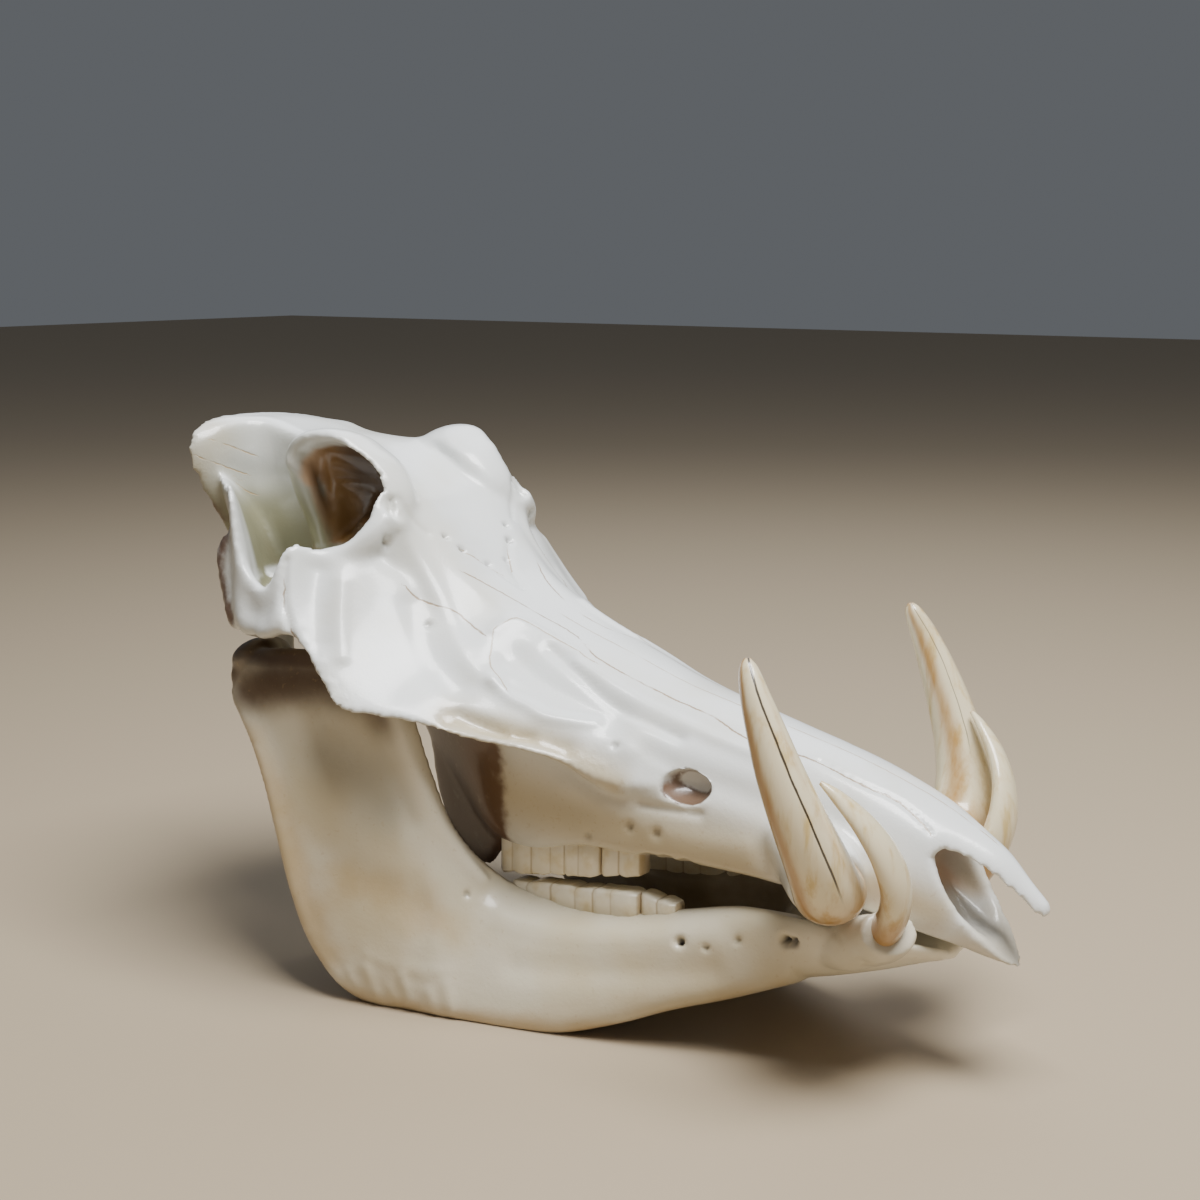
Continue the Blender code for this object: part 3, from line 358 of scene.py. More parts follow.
eye_socket = loft([[p + Vector((0, 0.030, 0.010)) for p in rim], rim]
                  + [[middle + (p - middle) * share - Vector((0, depth, 0)) for p in rim]
                     for share, depth in EYE_STEPS])
tusk_sheath = sweep(
    ((0.085, 0.020, 0.092), (0.100, 0.028, 0.086), (0.112, 0.036, 0.081), (0.119, 0.0425, 0.0780)),
    ((0.010, 0.011), (0.0135, 0.0135), (0.0155, 0.0150), (0.0150, 0.0145)), facing=(0, 0, 1))
joint_bar = sweep(
    ((-0.134, 0.020, 0.160), (-0.134, 0.045, 0.158), (-0.131, 0.066, 0.156), (-0.121, 0.084, 0.157)),
    ((0.010, 0.016), (0.008, 0.016), (0.0075, 0.015), (0.0065, 0.012)), facing=(0, 0, 1))
ear_prong = sweep(
    ((-0.152, 0.044, 0.168), (-0.153, 0.046, 0.150), (-0.151, 0.045, 0.130), (-0.147, 0.043, 0.112)),
    ((0.012, 0.010), (0.009, 0.008), (0.006, 0.0055), (0.0025, 0.0025)), facing=(1, 0, 0))
molar_wing = loft([slab_ring(low, high, 0.004, 0.006, thick) for low, high, thick in (
    ((-0.036, 0.0340, 0.063), (-0.036, 0.036, 0.100), 0.010),
    ((-0.046, 0.0315, 0.051), (-0.048, 0.034, 0.104), 0.010),
    ((-0.057, 0.0300, 0.052), (-0.061, 0.031, 0.112), 0.008),
    ((-0.068, 0.0295, 0.062), (-0.074, 0.028, 0.122), 0.008),
    ((-0.077, 0.0270, 0.076), (-0.085, 0.026, 0.132), 0.007))])
throat_wing = loft([slab_ring(low, high, 0.006, 0.006, 0.008) for low, high in (
    ((-0.044, 0.020, 0.072), (-0.044, 0.022, 0.104)),
    ((-0.058, 0.019, 0.073), (-0.060, 0.022, 0.116)),
    ((-0.072, 0.018, 0.080), (-0.076, 0.022, 0.130)),
    ((-0.084, 0.018, 0.100), (-0.092, 0.022, 0.142)),
    ((-0.092, 0.019, 0.118), (-0.104, 0.022, 0.148)))])
ear_swelling = ball((-0.128, 0.026, 0.136), (0.012, 0.008, 0.014))
nape_knob = ball((-0.170, 0.016, 0.160), (0.013, 0.010, 0.014))

nostril_notch = bmesh.new()
face = nostril_notch.faces.new([nostril_notch.verts.new((x, -0.04, z)) for x, z in NOSTRIL_NOTCH])
pulled = bmesh.ops.extrude_face_region(nostril_notch, geom=[face])
bmesh.ops.translate(nostril_notch, vec=(0, 0.08, 0),
                    verts=[vert for vert in pulled["geom"] if isinstance(vert, bmesh.types.BMVert)])
bmesh.ops.recalc_face_normals(nostril_notch, faces=nostril_notch.faces)

# The hollows: the infraorbital hole, the dish of the nape, the hole for the spinal cord, the throat and the
# nose.
infraorbital_hole = ball(*FORAMEN, turn=(("Z", 30), ("Y", 12)))
nape_dish = ball((-0.203, 0, 0.208), (0.020, 0.044, 0.022))
spinal_hole = sweep(((-0.200, 0, 0.172), (-0.170, 0, 0.174), (-0.140, 0, 0.180), (-0.115, 0, 0.184)),
                    ((0.010, 0.012), (0.0095, 0.0115), (0.014, 0.018), (0.008, 0.010)), facing=(0, 0, 1))
throat = sweep(((-0.100, 0, 0.100), (-0.080, 0, 0.106), (-0.060, 0, 0.104), (-0.040, 0, 0.100)),
               ((0.016, 0.013), (0.015, 0.013), (0.012, 0.012), (0.006, 0.008)), facing=(0, 0, 1))
nose_passage = loft([whole_ring(x, half) for x, half in NASAL_TUNNEL])

snout_and_braincase = loft([whole_ring(x, half, lean) for x, lean, half in SNOUT_AND_BRAINCASE])
side_bones = both([plate, brow, socket_back, socket_front, mastoid_edge, tusk_sheath, joint_bar, ear_prong,
                   throat_wing, molar_wing, ear_swelling, nape_knob])
side_hollows = both([eye_socket, infraorbital_hole])
cranium = bone_object("skull_bone", [snout_and_braincase] + side_bones,
                      side_hollows + [nape_dish, spinal_hole, throat, nose_passage, nostril_notch],
                      CRANIUM_GRAIN)

# The nape leans over to the left, the more so the further back and the higher up.
for vert in cranium.data.vertices:
    back = min(1.0, max(0.0, (-0.070 - vert.co.x) / 0.115))
    high = min(1.0, max(0.0, (vert.co.z - 0.175) / 0.040))
    vert.co.z -= NAPE_LEAN * vert.co.y * back * high * high * (3 - 2 * high)

# The seam behind the cheek plate and the groove over the forehead, which are both dented and coloured.
CHEEK_SEAM = (
    (-0.1102, 0.0824, 0.1822), (-0.1085, 0.0855, 0.1746), (-0.1063, 0.0887, 0.1671), (-0.1031, 0.0905, 0.1615),
    (-0.1003, 0.0919, 0.1559), (-0.099, 0.092, 0.151),
)
FOREHEAD_GROOVE = ((-0.0716, 0.0162, 0.1817), (-0.0674, 0.0100, 0.1770), (-0.0612, 0.0042, 0.1712),
                   (-0.0521, 0.0008, 0.1651))

# Marks on the cranium's left half, drawn as lines over its surface and repeated on the right. Dents and ridges:
# depth, half width and the line. A negative depth is a ridge.
CRANIUM_RELIEF = (
    (0.0030, 0.0075, ((-0.028, 0.039, 0.146), (-0.012, 0.040, 0.138), (0.004, 0.037, 0.131),
                      (0.018, 0.034, 0.125))),
    (0.0014, 0.0024, ((-0.0189, 0.0259, 0.147), (-0.0049, 0.0279, 0.140), (0.0088, 0.030, 0.1332),
                      (0.0231, 0.0298, 0.127), (0.0457, 0.0285, 0.1195))),
    (-0.0016, 0.0030, ((-0.0304, 0.0494, 0.1362), (-0.0204, 0.0501, 0.1307), (-0.0128, 0.0489, 0.1282),
                       (-0.0053, 0.0484, 0.1251), (0.0048, 0.0436, 0.1239), (0.0125, 0.0394, 0.1238))),
    (-0.0013, 0.0030, ((-0.0059, 0.0245, 0.1425), (0.0148, 0.0248, 0.1338), (0.0332, 0.0237, 0.1272),
                       (0.0577, 0.0229, 0.1205), (0.085, 0.021, 0.115))),
    (-0.0010, 0.0028, ((-0.041, 0.034, 0.153), (-0.037, 0.0241, 0.1563), (-0.0237, 0.0214, 0.1511),
                       (-0.0086, 0.0208, 0.1453))),
    (-0.0014, 0.0045, ((-0.0844, 0.0415, 0.1926), (-0.0761, 0.0385, 0.1793), (-0.0645, 0.040, 0.1655),
                       (-0.0434, 0.0492, 0.1435), (-0.0304, 0.0494, 0.1362))),
    (0.0016, 0.0065, ((-0.070, 0.050, 0.163), (-0.056, 0.058, 0.146), (-0.040, 0.060, 0.134))),
    (0.0018, 0.0055, ((-0.1000, 0.074, 0.178), (-0.0965, 0.080, 0.166), (-0.0905, 0.086, 0.151))),
    (-0.0010, 0.0035, ((-0.0915, 0.070, 0.174), (-0.086, 0.077, 0.160), (-0.079, 0.084, 0.147))),
    (0.0012, 0.0016, CHEEK_SEAM),
    (0.0010, 0.0016, FOREHEAD_GROOVE),
    (0.0008, 0.0014, ((-0.0838, 0.0399, 0.2058), (-0.0814, 0.0353, 0.1980), (-0.0797, 0.0292, 0.1890))),
    (0.0022, 0.0013, ((-0.0871, 0.0430, 0.2051), (-0.0858, 0.0440, 0.2011), (-0.0857, 0.0449, 0.1975))),
    (0.0026, 0.0015, ((-0.0925, 0.0500, 0.1945), (-0.0894, 0.0495, 0.1915), (-0.0872, 0.0484, 0.1869))),
    (0.0014, 0.0020, ((0.0361, 0.0420, 0.0942), (0.0488, 0.0401, 0.0939), (0.0606, 0.0381, 0.0938))),
    (0.0016, 0.0060, ((0.035, 0.036, 0.111), (0.060, 0.033, 0.106), (0.085, 0.031, 0.101),
                      (0.110, 0.028, 0.095))),
    (-0.0010, 0.0050, ((0.004, 0.043, 0.098), (0.030, 0.042, 0.088), (0.055, 0.039, 0.084),
                       (0.080, 0.037, 0.083))),
    (0.0008, 0.0012, ((0.0992, 0.0137, 0.1158), (0.1169, 0.0148, 0.1099), (0.1327, 0.0131, 0.1048),
                      (0.1461, 0.0152, 0.0962))),
    (0.0010, 0.0060, ((-0.181, 0.050, 0.212), (-0.172, 0.036, 0.208), (-0.155, 0.030, 0.206),
                      (-0.138, 0.033, 0.200))),
    (0.0016, 0.0024, ((-0.034, 0.066, 0.1265), (-0.028, 0.0645, 0.1245))),
    (0.0020, 0.0026, ((-0.024, 0.0635, 0.1235), (-0.016, 0.0615, 0.1205))),
    (0.0014, 0.0022, ((-0.011, 0.059, 0.1195), (-0.006, 0.0565, 0.1190))),
    (0.0022, 0.0050, ((-0.036, 0.070, 0.1245), (-0.024, 0.064, 0.1215), (-0.010, 0.057, 0.1180),
                      (0.006, 0.0500, 0.1130))),
    (-0.0012, 0.0022, ((-0.0060, 0.0540, 0.1130), (0.0080, 0.0490, 0.1060), (0.0220, 0.0455, 0.0990),
                       (0.0300, 0.0435, 0.0985))),
    (0.0030, 0.0022, ((0.0385, 0.0385, 0.0712),)),
    (0.0032, 0.0024, ((0.0465, 0.0385, 0.0712),)),
    (0.0026, 0.0022, ((0.0550, 0.0375, 0.0714),)),
)
# Small holes and pits: depth, half width and place.
CRANIUM_PITS = (
    (0.0030, 0.0013, (-0.0769, 0.0209, 0.1874)), (0.0030, 0.0014, (-0.0716, 0.0162, 0.1817)),
    (0.0022, 0.0012, (-0.0655, 0.0062, 0.1749)),
    (0.0016, 0.0019, (0.0315, 0.0421, 0.0849)),
    (0.0018, 0.0020, (0.0435, 0.0411, 0.0840)), (0.0014, 0.0018, (0.0110, 0.0421, 0.0767)),
    (0.0012, 0.0016, (0.0235, 0.0408, 0.1160)), (0.0014, 0.0014, (-0.0630, 0.0492, 0.1561)),
)
# Rough bone, where muscles held on: half width, height of the bumps and the line.
CRANIUM_ROUGH = (
    (0.0040, 0.0004, ((-0.042, 0.073, 0.124), (-0.026, 0.065, 0.120), (-0.008, 0.057, 0.116),
                      (0.008, 0.050, 0.112), (0.024, 0.044, 0.108))),
    (0.0045, 0.0006, ((-0.030, 0.041, 0.068), (0.000, 0.041, 0.071), (0.030, 0.041, 0.073),
                      (0.062, 0.040, 0.075))),
    (0.0060, 0.0014, ((-0.1490, 0.079, 0.190), (-0.1475, 0.081, 0.170), (-0.138, 0.086, 0.154))),
    (0.0040, 0.0012, ((-0.1190, 0.091, 0.151), (-0.106, 0.092, 0.153), (-0.096, 0.092, 0.150),
                      (-0.075, 0.095, 0.128))),
    (0.0060, 0.0004, ((-0.187, 0.062, 0.210), (-0.189, 0.055, 0.226), (-0.189, 0.030, 0.232),
                      (-0.190, 0.0, 0.233))),
)
# Seams between the grown-together bones, in two sets so that no line is close to another of its own set.
CRANIUM_SEAMS = (
    CHEEK_SEAM,
    ((-0.0639, 0.0245, 0.1733), (-0.0569, 0.0193, 0.1686), (-0.0495, 0.0153, 0.1641), (-0.0414, 0.0128, 0.1599),
     (-0.0328, 0.0111, 0.1559), (-0.025, 0.0099, 0.1528), (-0.0157, 0.0108, 0.1494)),
    ((-0.0093, 0.0141, 0.147), (-0.0004, 0.0176, 0.1432), (0.0173, 0.0170, 0.1368), (0.0273, 0.0162, 0.1334),
     (0.0367, 0.0161, 0.1306), (0.0534, 0.0160, 0.1265), (0.0698, 0.0184, 0.1206), (0.0992, 0.0150, 0.1158),
     (0.1169, 0.0148, 0.1099), (0.1327, 0.0131, 0.1048), (0.1461, 0.0152, 0.0962)),
    ((-0.0755, 0.0481, 0.1692), (-0.0709, 0.0460, 0.1652), (-0.0650, 0.0422, 0.1619), (-0.0578, 0.0382, 0.1591),
     (-0.0514, 0.0377, 0.1556), (-0.0440, 0.0378, 0.1519)),
)
CRANIUM_FINE_SEAMS = (
    ((-0.0247, 0.0490, 0.1335), (-0.0301, 0.0473, 0.1379), (-0.0348, 0.0451, 0.1426), (-0.0375, 0.0403, 0.1472),
     (-0.0413, 0.0341, 0.1528), (-0.0394, 0.0285, 0.1555), (-0.0370, 0.0241, 0.1563), (-0.0313, 0.0222, 0.1541),
     (-0.0237, 0.0214, 0.1511), (-0.0154, 0.0210, 0.1478), (-0.0008, 0.0205, 0.1425)),
    ((-0.030, 0.0, 0.1555), (0.010, 0.0, 0.1415), (0.060, 0.0, 0.1270), (0.120, 0.0, 0.1115),
     (0.165, 0.0, 0.092)),
    FOREHEAD_GROOVE[:3],
    ((-0.1824, 0.0600, 0.2178), (-0.1790, 0.0500, 0.2130), (-0.174, 0.040, 0.209)),
    ((-0.1830, 0.0560, 0.2060), (-0.1780, 0.0460, 0.2030), (-0.172, 0.038, 0.200)),
    ((-0.1810, 0.0540, 0.2245), (-0.1780, 0.0450, 0.2210), (-0.173, 0.036, 0.217)),
)
# Patches on the left half, each along a line: width, strength and the line. The cream is painted shade on
# bone that faces down, along the cheek plate's lower edge and in the tusks' shadow, with some cream staining.
# The brown is painted shade along the cheek plate's back edge, under the cheek arches, under the nape's edge
# and in two pits.
CRANIUM_CREAM_AND_SHADE = (
    (0.018, 1.0, ((-0.040, 0.045, 0.090), (0.000, 0.044, 0.084), (0.050, 0.040, 0.080),
                  (0.080, 0.038, 0.078))),
    (0.0075, 1.0, ((-0.036, 0.070, 0.1235), (-0.010, 0.057, 0.1170), (0.010, 0.049, 0.1100),
                   (0.026, 0.044, 0.1020))),
    (0.014, 0.6, ((0.165, 0.010, 0.056), (0.178, 0.0, 0.050))),
    (0.009, 1.0, ((0.118, 0.031, 0.080), (0.140, 0.024, 0.073), (0.150, 0.018, 0.068))),
    (0.009, 0.7, ((-0.186, 0.058, 0.214), (-0.184, 0.050, 0.226))),
)
CRANIUM_BROWN_SHADE = (
    (0.0055, 1.0, ((-0.149, 0.079, 0.190), (-0.148, 0.081, 0.172), (-0.139, 0.086, 0.156))),
    (0.0050, 1.0, ((-0.134, 0.060, 0.148), (-0.125, 0.085, 0.148), (-0.106, 0.088, 0.148))),
    (0.0045, 0.8, ((-0.1870, 0.060, 0.207), (-0.1840, 0.056, 0.198), (-0.1790, 0.051, 0.190))),
    (0.0028, 0.5, ((-0.030, 0.064, 0.1225), (-0.010, 0.058, 0.1185))),
    (0.0020, 0.9, ((-0.0630, 0.0492, 0.1561),)),
)

# How far bone shuts off the air above it, in metres, by how many rays it is felt for, the turn between two of
# them, and how often the answer is smoothed. Then how fine the bumps of rough bone are, for each metre.
SHELTER_REACH = 0.07
SHELTER_RAYS = 10
GOLDEN_ANGLE = 2.4
SHELTER_SMOOTHINGS = 5
BUMPS_PER_METRE = 280

def vertex_arrays(obj):
    """The mesh's points and normals."""
    points = np.empty(len(obj.data.vertices) * 3)
    normals = np.empty(len(obj.data.vertices) * 3)
    obj.data.vertices.foreach_get("co", points)
    obj.data.vertices.foreach_get("normal", normals)
    return points.reshape(-1, 3), normals.reshape(-1, 3)


def surface(obj):
    """The mesh's points and normals, and a tree that finds the nearest place on it."""
    points, normals = vertex_arrays(obj)
    faces = [list(face.vertices) for face in obj.data.polygons]
    return points, normals, BVHTree.FromPolygons([Vector(p) for p in points], faces)


def distances(points, normals, line, tree, steps=3):
    """Each point's distance to a line laid on the surface, and on which side of it the point is (-1 or 1)."""
    line = [Vector(p) for p in line]
    if len(line) > 1:
        line = smooth_line(line, steps)
    line = np.array([tree.find_nearest(p)[0] for p in line])
    best, side = np.full(len(points), 1.0), np.ones(len(points))
    for start, end in zip(line, line[1:] if len(line) > 1 else line):
        along = end - start
        share = np.clip((points - start) @ along / max(along @ along, 1e-12), 0, 1)
        off = points - start - share[:, None] * along
        far = np.sqrt((off * off).sum(1))
        closer = far < best
        best[closer] = far[closer]
        side[closer] = np.where((np.cross(along, off[closer]) * normals[closer]).sum(1) < 0, -1.0, 1.0)
    return best, side


def other_side(line):
    """The same line on the right half."""
    return [(x, -y, z) for x, y, z in line]


def carve(obj, relief, pits, rough):
    """Moves the surface in and out along its marks, on both sides of the skull, and keeps where it is rough and
    where its holes are for the material."""
    points, normals, tree = surface(obj)
    moved, hole_shade, roughness = np.zeros((3, len(points)))
    single_places = [(depth, width, (place,)) for depth, width, place in pits]
    for depth, width, line in list(relief) + single_places:
        for drawn in (line, other_side(line)):
            far, _ = distances(points, normals, drawn, tree)
            moved -= depth * np.exp(-(far / width) ** 2)
            if len(line) == 1:
                hole_shade = np.maximum(hole_shade, smoothstep(width * 1.3, width * 0.6, far) * min(1, depth / 0.004))
    for width, height, line in rough:
        near = np.maximum(*[np.exp(-(distances(points, normals, drawn, tree)[0] / width) ** 2)
                            for drawn in (line, other_side(line))])
        roughness = np.maximum(roughness, near)
        for i in np.nonzero(near > 0.05)[0]:
            bump = noise.noise(Vector(points[i]) * BUMPS_PER_METRE) * 0.6 - 0.3
            moved[i] += height * near[i] * bump
    obj.data.vertices.foreach_set("co", (points + normals * moved[:, None]).ravel())
    obj.data.update()
    attribute(obj, "rough", roughness)
    attribute(obj, "hole_shade", hole_shade)


def attribute(obj, name, values):
    """A number at each vertex, for the material."""
    layer = obj.data.attributes.new(name, "FLOAT", "POINT")
    layer.data.foreach_set("value", np.asarray(values, dtype=np.float32))


def draw_seams(obj, name, lines):
    """Signed distance to the nearest seam in mm, so that the material can draw a line where it is nought, and
    how near the seam is, which fades the line out past its ends."""
    points, normals, tree = surface(obj)
    best, signed = np.full(len(points), 1.0), np.ones(len(points))
    for line in lines:
        in_the_middle = all(y == 0 for _, y, _ in line)
        for drawn in (line,) if in_the_middle else (line, other_side(line)):
            far, side = distances(points, normals, drawn, tree)
            closer = far < best
            best[closer] = far[closer]
            signed[closer] = (far * side)[closer]
    attribute(obj, name, np.clip(signed * 1000, -6, 6))
    attribute(obj, name + "_near", np.clip((0.0032 - best) / 0.0010, 0, 1))


def shelter(obj):
    """How much of the air above each vertex is closed off by bone: 0 is open, 1 is closed."""
    points, normals, tree = surface(obj)
    widths = [math.sqrt((k + 0.5) / SHELTER_RAYS) * 0.92 for k in range(SHELTER_RAYS)]
    spread = [Vector((math.cos(k * GOLDEN_ANGLE) * wide, math.sin(k * GOLDEN_ANGLE) * wide,
                      math.sqrt(1 - wide * wide))) for k, wide in enumerate(widths)]
    closed = np.zeros(len(points))
    for i, (point, normal) in enumerate(zip(points, normals)):
        normal = Vector(normal)
        turn = normal.to_track_quat("Z", "Y")
        start = Vector(point) + normal * 0.0006
        for ray in spread:
            place, _, _, distance = tree.ray_cast(start, turn @ ray, SHELTER_REACH)
            if place is not None:
                closed[i] += 1 - distance / SHELTER_REACH
    closed /= len(spread)
    edges = np.array([edge.vertices[:] for edge in obj.data.edges])
    for _ in range(SHELTER_SMOOTHINGS):
        total, count = closed.copy(), np.ones(len(points))
        for here, there in ((0, 1), (1, 0)):
            np.add.at(total, edges[:, here], closed[edges[:, there]])
            np.add.at(count, edges[:, here], 1)
        closed = total / count
    return closed


def smoothstep(low, high, values):
    """0 below low and 1 above high, with a smooth step between them."""
    share = np.clip((values - low) / (high - low), 0, 1)
    return share * share * (3 - 2 * share)


def patch(points, line, width):
    """1 on a line through the bone, fading to 0 with distance. Both sides of the skull get it."""
    mirror = points * (1, -1, 1)
    best = np.full(len(points), 1.0)
    if len(line) > 1:
        line = smooth_line([Vector(p) for p in line], 12)
    line = np.array(line)
    for place in line:
        for half in (points, mirror):
            best = np.minimum(best, np.sqrt(((half - place) ** 2).sum(1)))
    return np.exp(-(best / width) ** 2)


def patches(points, rows):
    """Every patch of a table of widths, strengths and lines, as one row of numbers each."""
    return [strength * patch(points, line, width) for width, strength, line in rows]


def left_half(points, normals):
    """Points and normals folded over to the left half, so that one description serves for both."""
    half = points * (1, 0, 1) + np.abs(points) * (0, 1, 0)
    half_normals = normals * (1, 0, 1) + (normals[:, 1] * np.sign(points[:, 1]))[:, None] * (0, 1, 0)
    return half, half_normals


def eye_socket_marks(half, half_normals):
    """How far each point belongs to the inside of the eye socket, and how deep in it and how far forward."""
    rim = np.array(EYE_RIM)
    plane, *_ = np.linalg.lstsq(np.c_[rim[:, [0, 2]], np.ones(len(rim))], rim[:, 1], rcond=None)
    behind_rim = half[:, 0] * plane[0] + half[:, 2] * plane[1] + plane[2] - half[:, 1]
    inside = np.zeros(len(half), bool)
    to_rim = np.full(len(half), 1.0)
    for (x0, _, z0), (x1, _, z1) in zip(rim, np.roll(rim, -1, axis=0)):
        crosses = (z0 > half[:, 2]) != (z1 > half[:, 2])
        inside ^= crosses & (half[:, 0] < (x1 - x0) * (half[:, 2] - z0) / (z1 - z0 + 1e-12) + x0)
        edge = np.array((x1 - x0, z1 - z0))
        start = half[:, [0, 2]] - (x0, z0)
        along = np.clip(start @ edge / max(edge @ edge, 1e-12), 0, 1)
        to_rim = np.minimum(to_rim, np.sqrt(((start - along[:, None] * edge) ** 2).sum(1)))
    far = np.sqrt(((EYE_MIDDLE - half) ** 2).sum(1))
    facing = (half_normals * (EYE_MIDDLE - half)).sum(1) / np.maximum(far, 1e-6)
    forehead = smoothstep(0.1, 0.4, half_normals[:, 2]) * smoothstep(0.203, 0.208, half[:, 2])
    in_socket = (smoothstep(-0.0012, 0.0012, np.where(inside, to_rim, -to_rim))
                 * smoothstep(-0.0015, 0.0030, behind_rim) * smoothstep(0.038, 0.034, far)
                 * smoothstep(-0.15, 0.10, facing) * (1 - forehead))
    depth = smoothstep(-0.136, -0.112, half[:, 0]) * 0.75 + smoothstep(0.0, 0.018, behind_rim) * 0.30
    return in_socket, np.clip(depth, 0, 1)


carve(cranium, CRANIUM_RELIEF, CRANIUM_PITS, CRANIUM_ROUGH)
draw_seams(cranium, "seams", CRANIUM_SEAMS)
draw_seams(cranium, "fine_seams", CRANIUM_FINE_SEAMS)

# The finer grain keeps a little more of the nose tip and the cheek plates than the solids do, so both are drawn
# in and the whole is held inside the solids' box.
points, normals = vertex_arrays(cranium)
low, high = (np.array(corner) for corner in cad_box)
points[:, 0] -= 0.0011 * smoothstep(0.165, 0.187, points[:, 0])
points[:, 1] *= 1 - 0.006 * smoothstep(0.080, 0.094, np.abs(points[:, 1]))
points = np.clip(points, low, high)
cranium.data.vertices.foreach_set("co", points.ravel())
cranium.data.update()

# Where the material changes: the eye sockets, the hollow of the temples, the steep sides, the nose opening and
# the cream and brown patches. Most of these carry painted shade, as does each place's shelter.
half, half_normals = left_half(points, normals)
in_socket, eye_depth = eye_socket_marks(half, half_normals)
# How sheltered each vertex is, which the materials turn into painted shade.
attribute(cranium, "sheltered", shelter(cranium))
attribute(cranium, "eye_socket", in_socket)
attribute(cranium, "eye_depth", eye_depth)
# The hollow of the temples: grey-green, with painted shade that deepens further down the hollow.
cup = (smoothstep(-0.120, -0.133, half[:, 0]) * smoothstep(0.152, 0.166, half[:, 2])
       * smoothstep(0.072, 0.062, half[:, 1]) * smoothstep(0.80, 0.45, half_normals[:, 2])
       * smoothstep(-0.45, -0.05, half_normals[:, 1] * 0.7 + half_normals[:, 0] * 0.7))
attribute(cranium, "temple_tint_and_shade", cup * (0.35 + 0.65 * smoothstep(0.218, 0.192, half[:, 2])))
# Steep sides face away from the overhead light, and the material greys them as painted shade.
attribute(cranium, "side", smoothstep(0.70, 0.20, half_normals[:, 2]) * smoothstep(0.020, 0.045, half[:, 1]))
nose_opening = (smoothstep(0.130, 0.140, half[:, 0]) * smoothstep(0.0150, 0.0120, half[:, 1])
                * smoothstep(0.15, -0.25, half_normals[:, 1]) * smoothstep(0.060, 0.075, half[:, 2])
                * smoothstep(0.172, 0.160, half[:, 0]))
attribute(cranium, "nostril", nose_opening)
attribute(cranium, "cream_and_shade", np.maximum.reduce(patches(half, CRANIUM_CREAM_AND_SHADE)))
# Painted brown shade behind the teeth, on the palate and inside the infraorbital hole.
behind_teeth = (smoothstep(-0.022, -0.034, half[:, 0]) * smoothstep(0.136, 0.124, half[:, 2])
                * smoothstep(0.058, 0.050, half[:, 1]))
palate = (smoothstep(0.075, 0.066, half[:, 2]) * smoothstep(0.037, 0.030, half[:, 1])
          * smoothstep(0.105, 0.085, half[:, 0]))
from_hole = (half - (0.0530, 0.0340, 0.1015)) / (1.0, 2.2, 0.75)
in_hole = (smoothstep(0.0115, 0.0075, np.sqrt((from_hole ** 2).sum(1)))
           * smoothstep(0.85, 0.60, half_normals[:, 1]))
attribute(cranium, "brown_shade",
          np.maximum.reduce(patches(half, CRANIUM_BROWN_SHADE) + [behind_teeth, palate, in_hole]))


def linear(code):
    """An sRGB hex colour as the linear colour that a shader takes."""
    shares = [int(code[i:i + 2], 16) / 255 for i in (1, 3, 5)]
    return (*[s / 12.92 if s <= 0.04045 else ((s + 0.055) / 1.055) ** 2.4 for s in shares], 1.0)


def add(tree, kind, inputs=(), **settings):
    """One shader node with its settings, and its sockets given values or links."""
    made = tree.nodes.new("ShaderNode" + kind)
    for name, value in settings.items():
        setattr(made, name, value)
    for socket, value in dict(inputs).items():
        if isinstance(value, bpy.types.NodeSocket):
            tree.links.new(value, made.inputs[socket])
        else:
            made.inputs[socket].default_value = value
    return made


def new_material(name):
    """A new material, its node tree and its shader."""
    made = bpy.data.materials.new(name)
    made.use_nodes = True
    tree = made.node_tree
    return made, tree, tree.nodes["Principled BSDF"]


def attribute_node(tree, name):
    """The number that the mesh holds under this name."""
    return add(tree, "Attribute", attribute_name=name).outputs["Fac"]


def tinted(tree, colour, share, tint):
    """The colour with a share of a tint over it."""
    mix = add(tree, "Mix", {"Factor": share}, data_type="RGBA")
    for name, value in (("A", colour), ("B", tint)):
        socket = next(s for s in mix.inputs if s.name == name and s.type == "RGBA")
        if isinstance(value, bpy.types.NodeSocket):
            tree.links.new(value, socket)
        else:
            socket.default_value = linear(value)
    return next(s for s in mix.outputs if s.type == "RGBA")


def sums(tree, operation, *values, clamp=False):
    """One arithmetic node."""
    return add(tree, "Math", dict(enumerate(values)), operation=operation, use_clamp=clamp).outputs[0]


def stained(tree, colour, where, strength, tint):
    """The colour with a tint over it where the marks are, no stronger than this."""
    return tinted(tree, colour, sums(tree, "MULTIPLY", where, strength), tint)


def centred(tree, cloudy, width):
    """Noise moved down so that its middle is nought, and spread over this width."""
    return sums(tree, "MULTIPLY", sums(tree, "SUBTRACT", cloudy, 0.5), width)


def between(tree, value, low, high):
    """0 below low and 1 above high, with a smooth step between them."""
    return add(tree, "MapRange", {"Value": value, "From Min": low, "From Max": high},
               interpolation_type="SMOOTHSTEP").outputs["Result"]


def clouds(tree, place, size, detail=3.0, roughness=0.55):
    """Cloudy noise from 0 to 1 whose patches are about this many metres wide."""
    return add(tree, "TexNoise", {"Vector": place, "Scale": 0.6 / size, "Detail": detail,
                                  "Roughness": roughness}).outputs["Fac"]


def grain(tree, place, fine, fine_height, broad):
    """Height of the bone's surface: its fine grain and its broad swells, with their sizes in metres."""
    return sums(tree, "ADD", sums(tree, "MULTIPLY", clouds(tree, place, fine, 3.0), fine_height),
                sums(tree, "MULTIPLY", clouds(tree, place, broad, 2.0), 0.5))


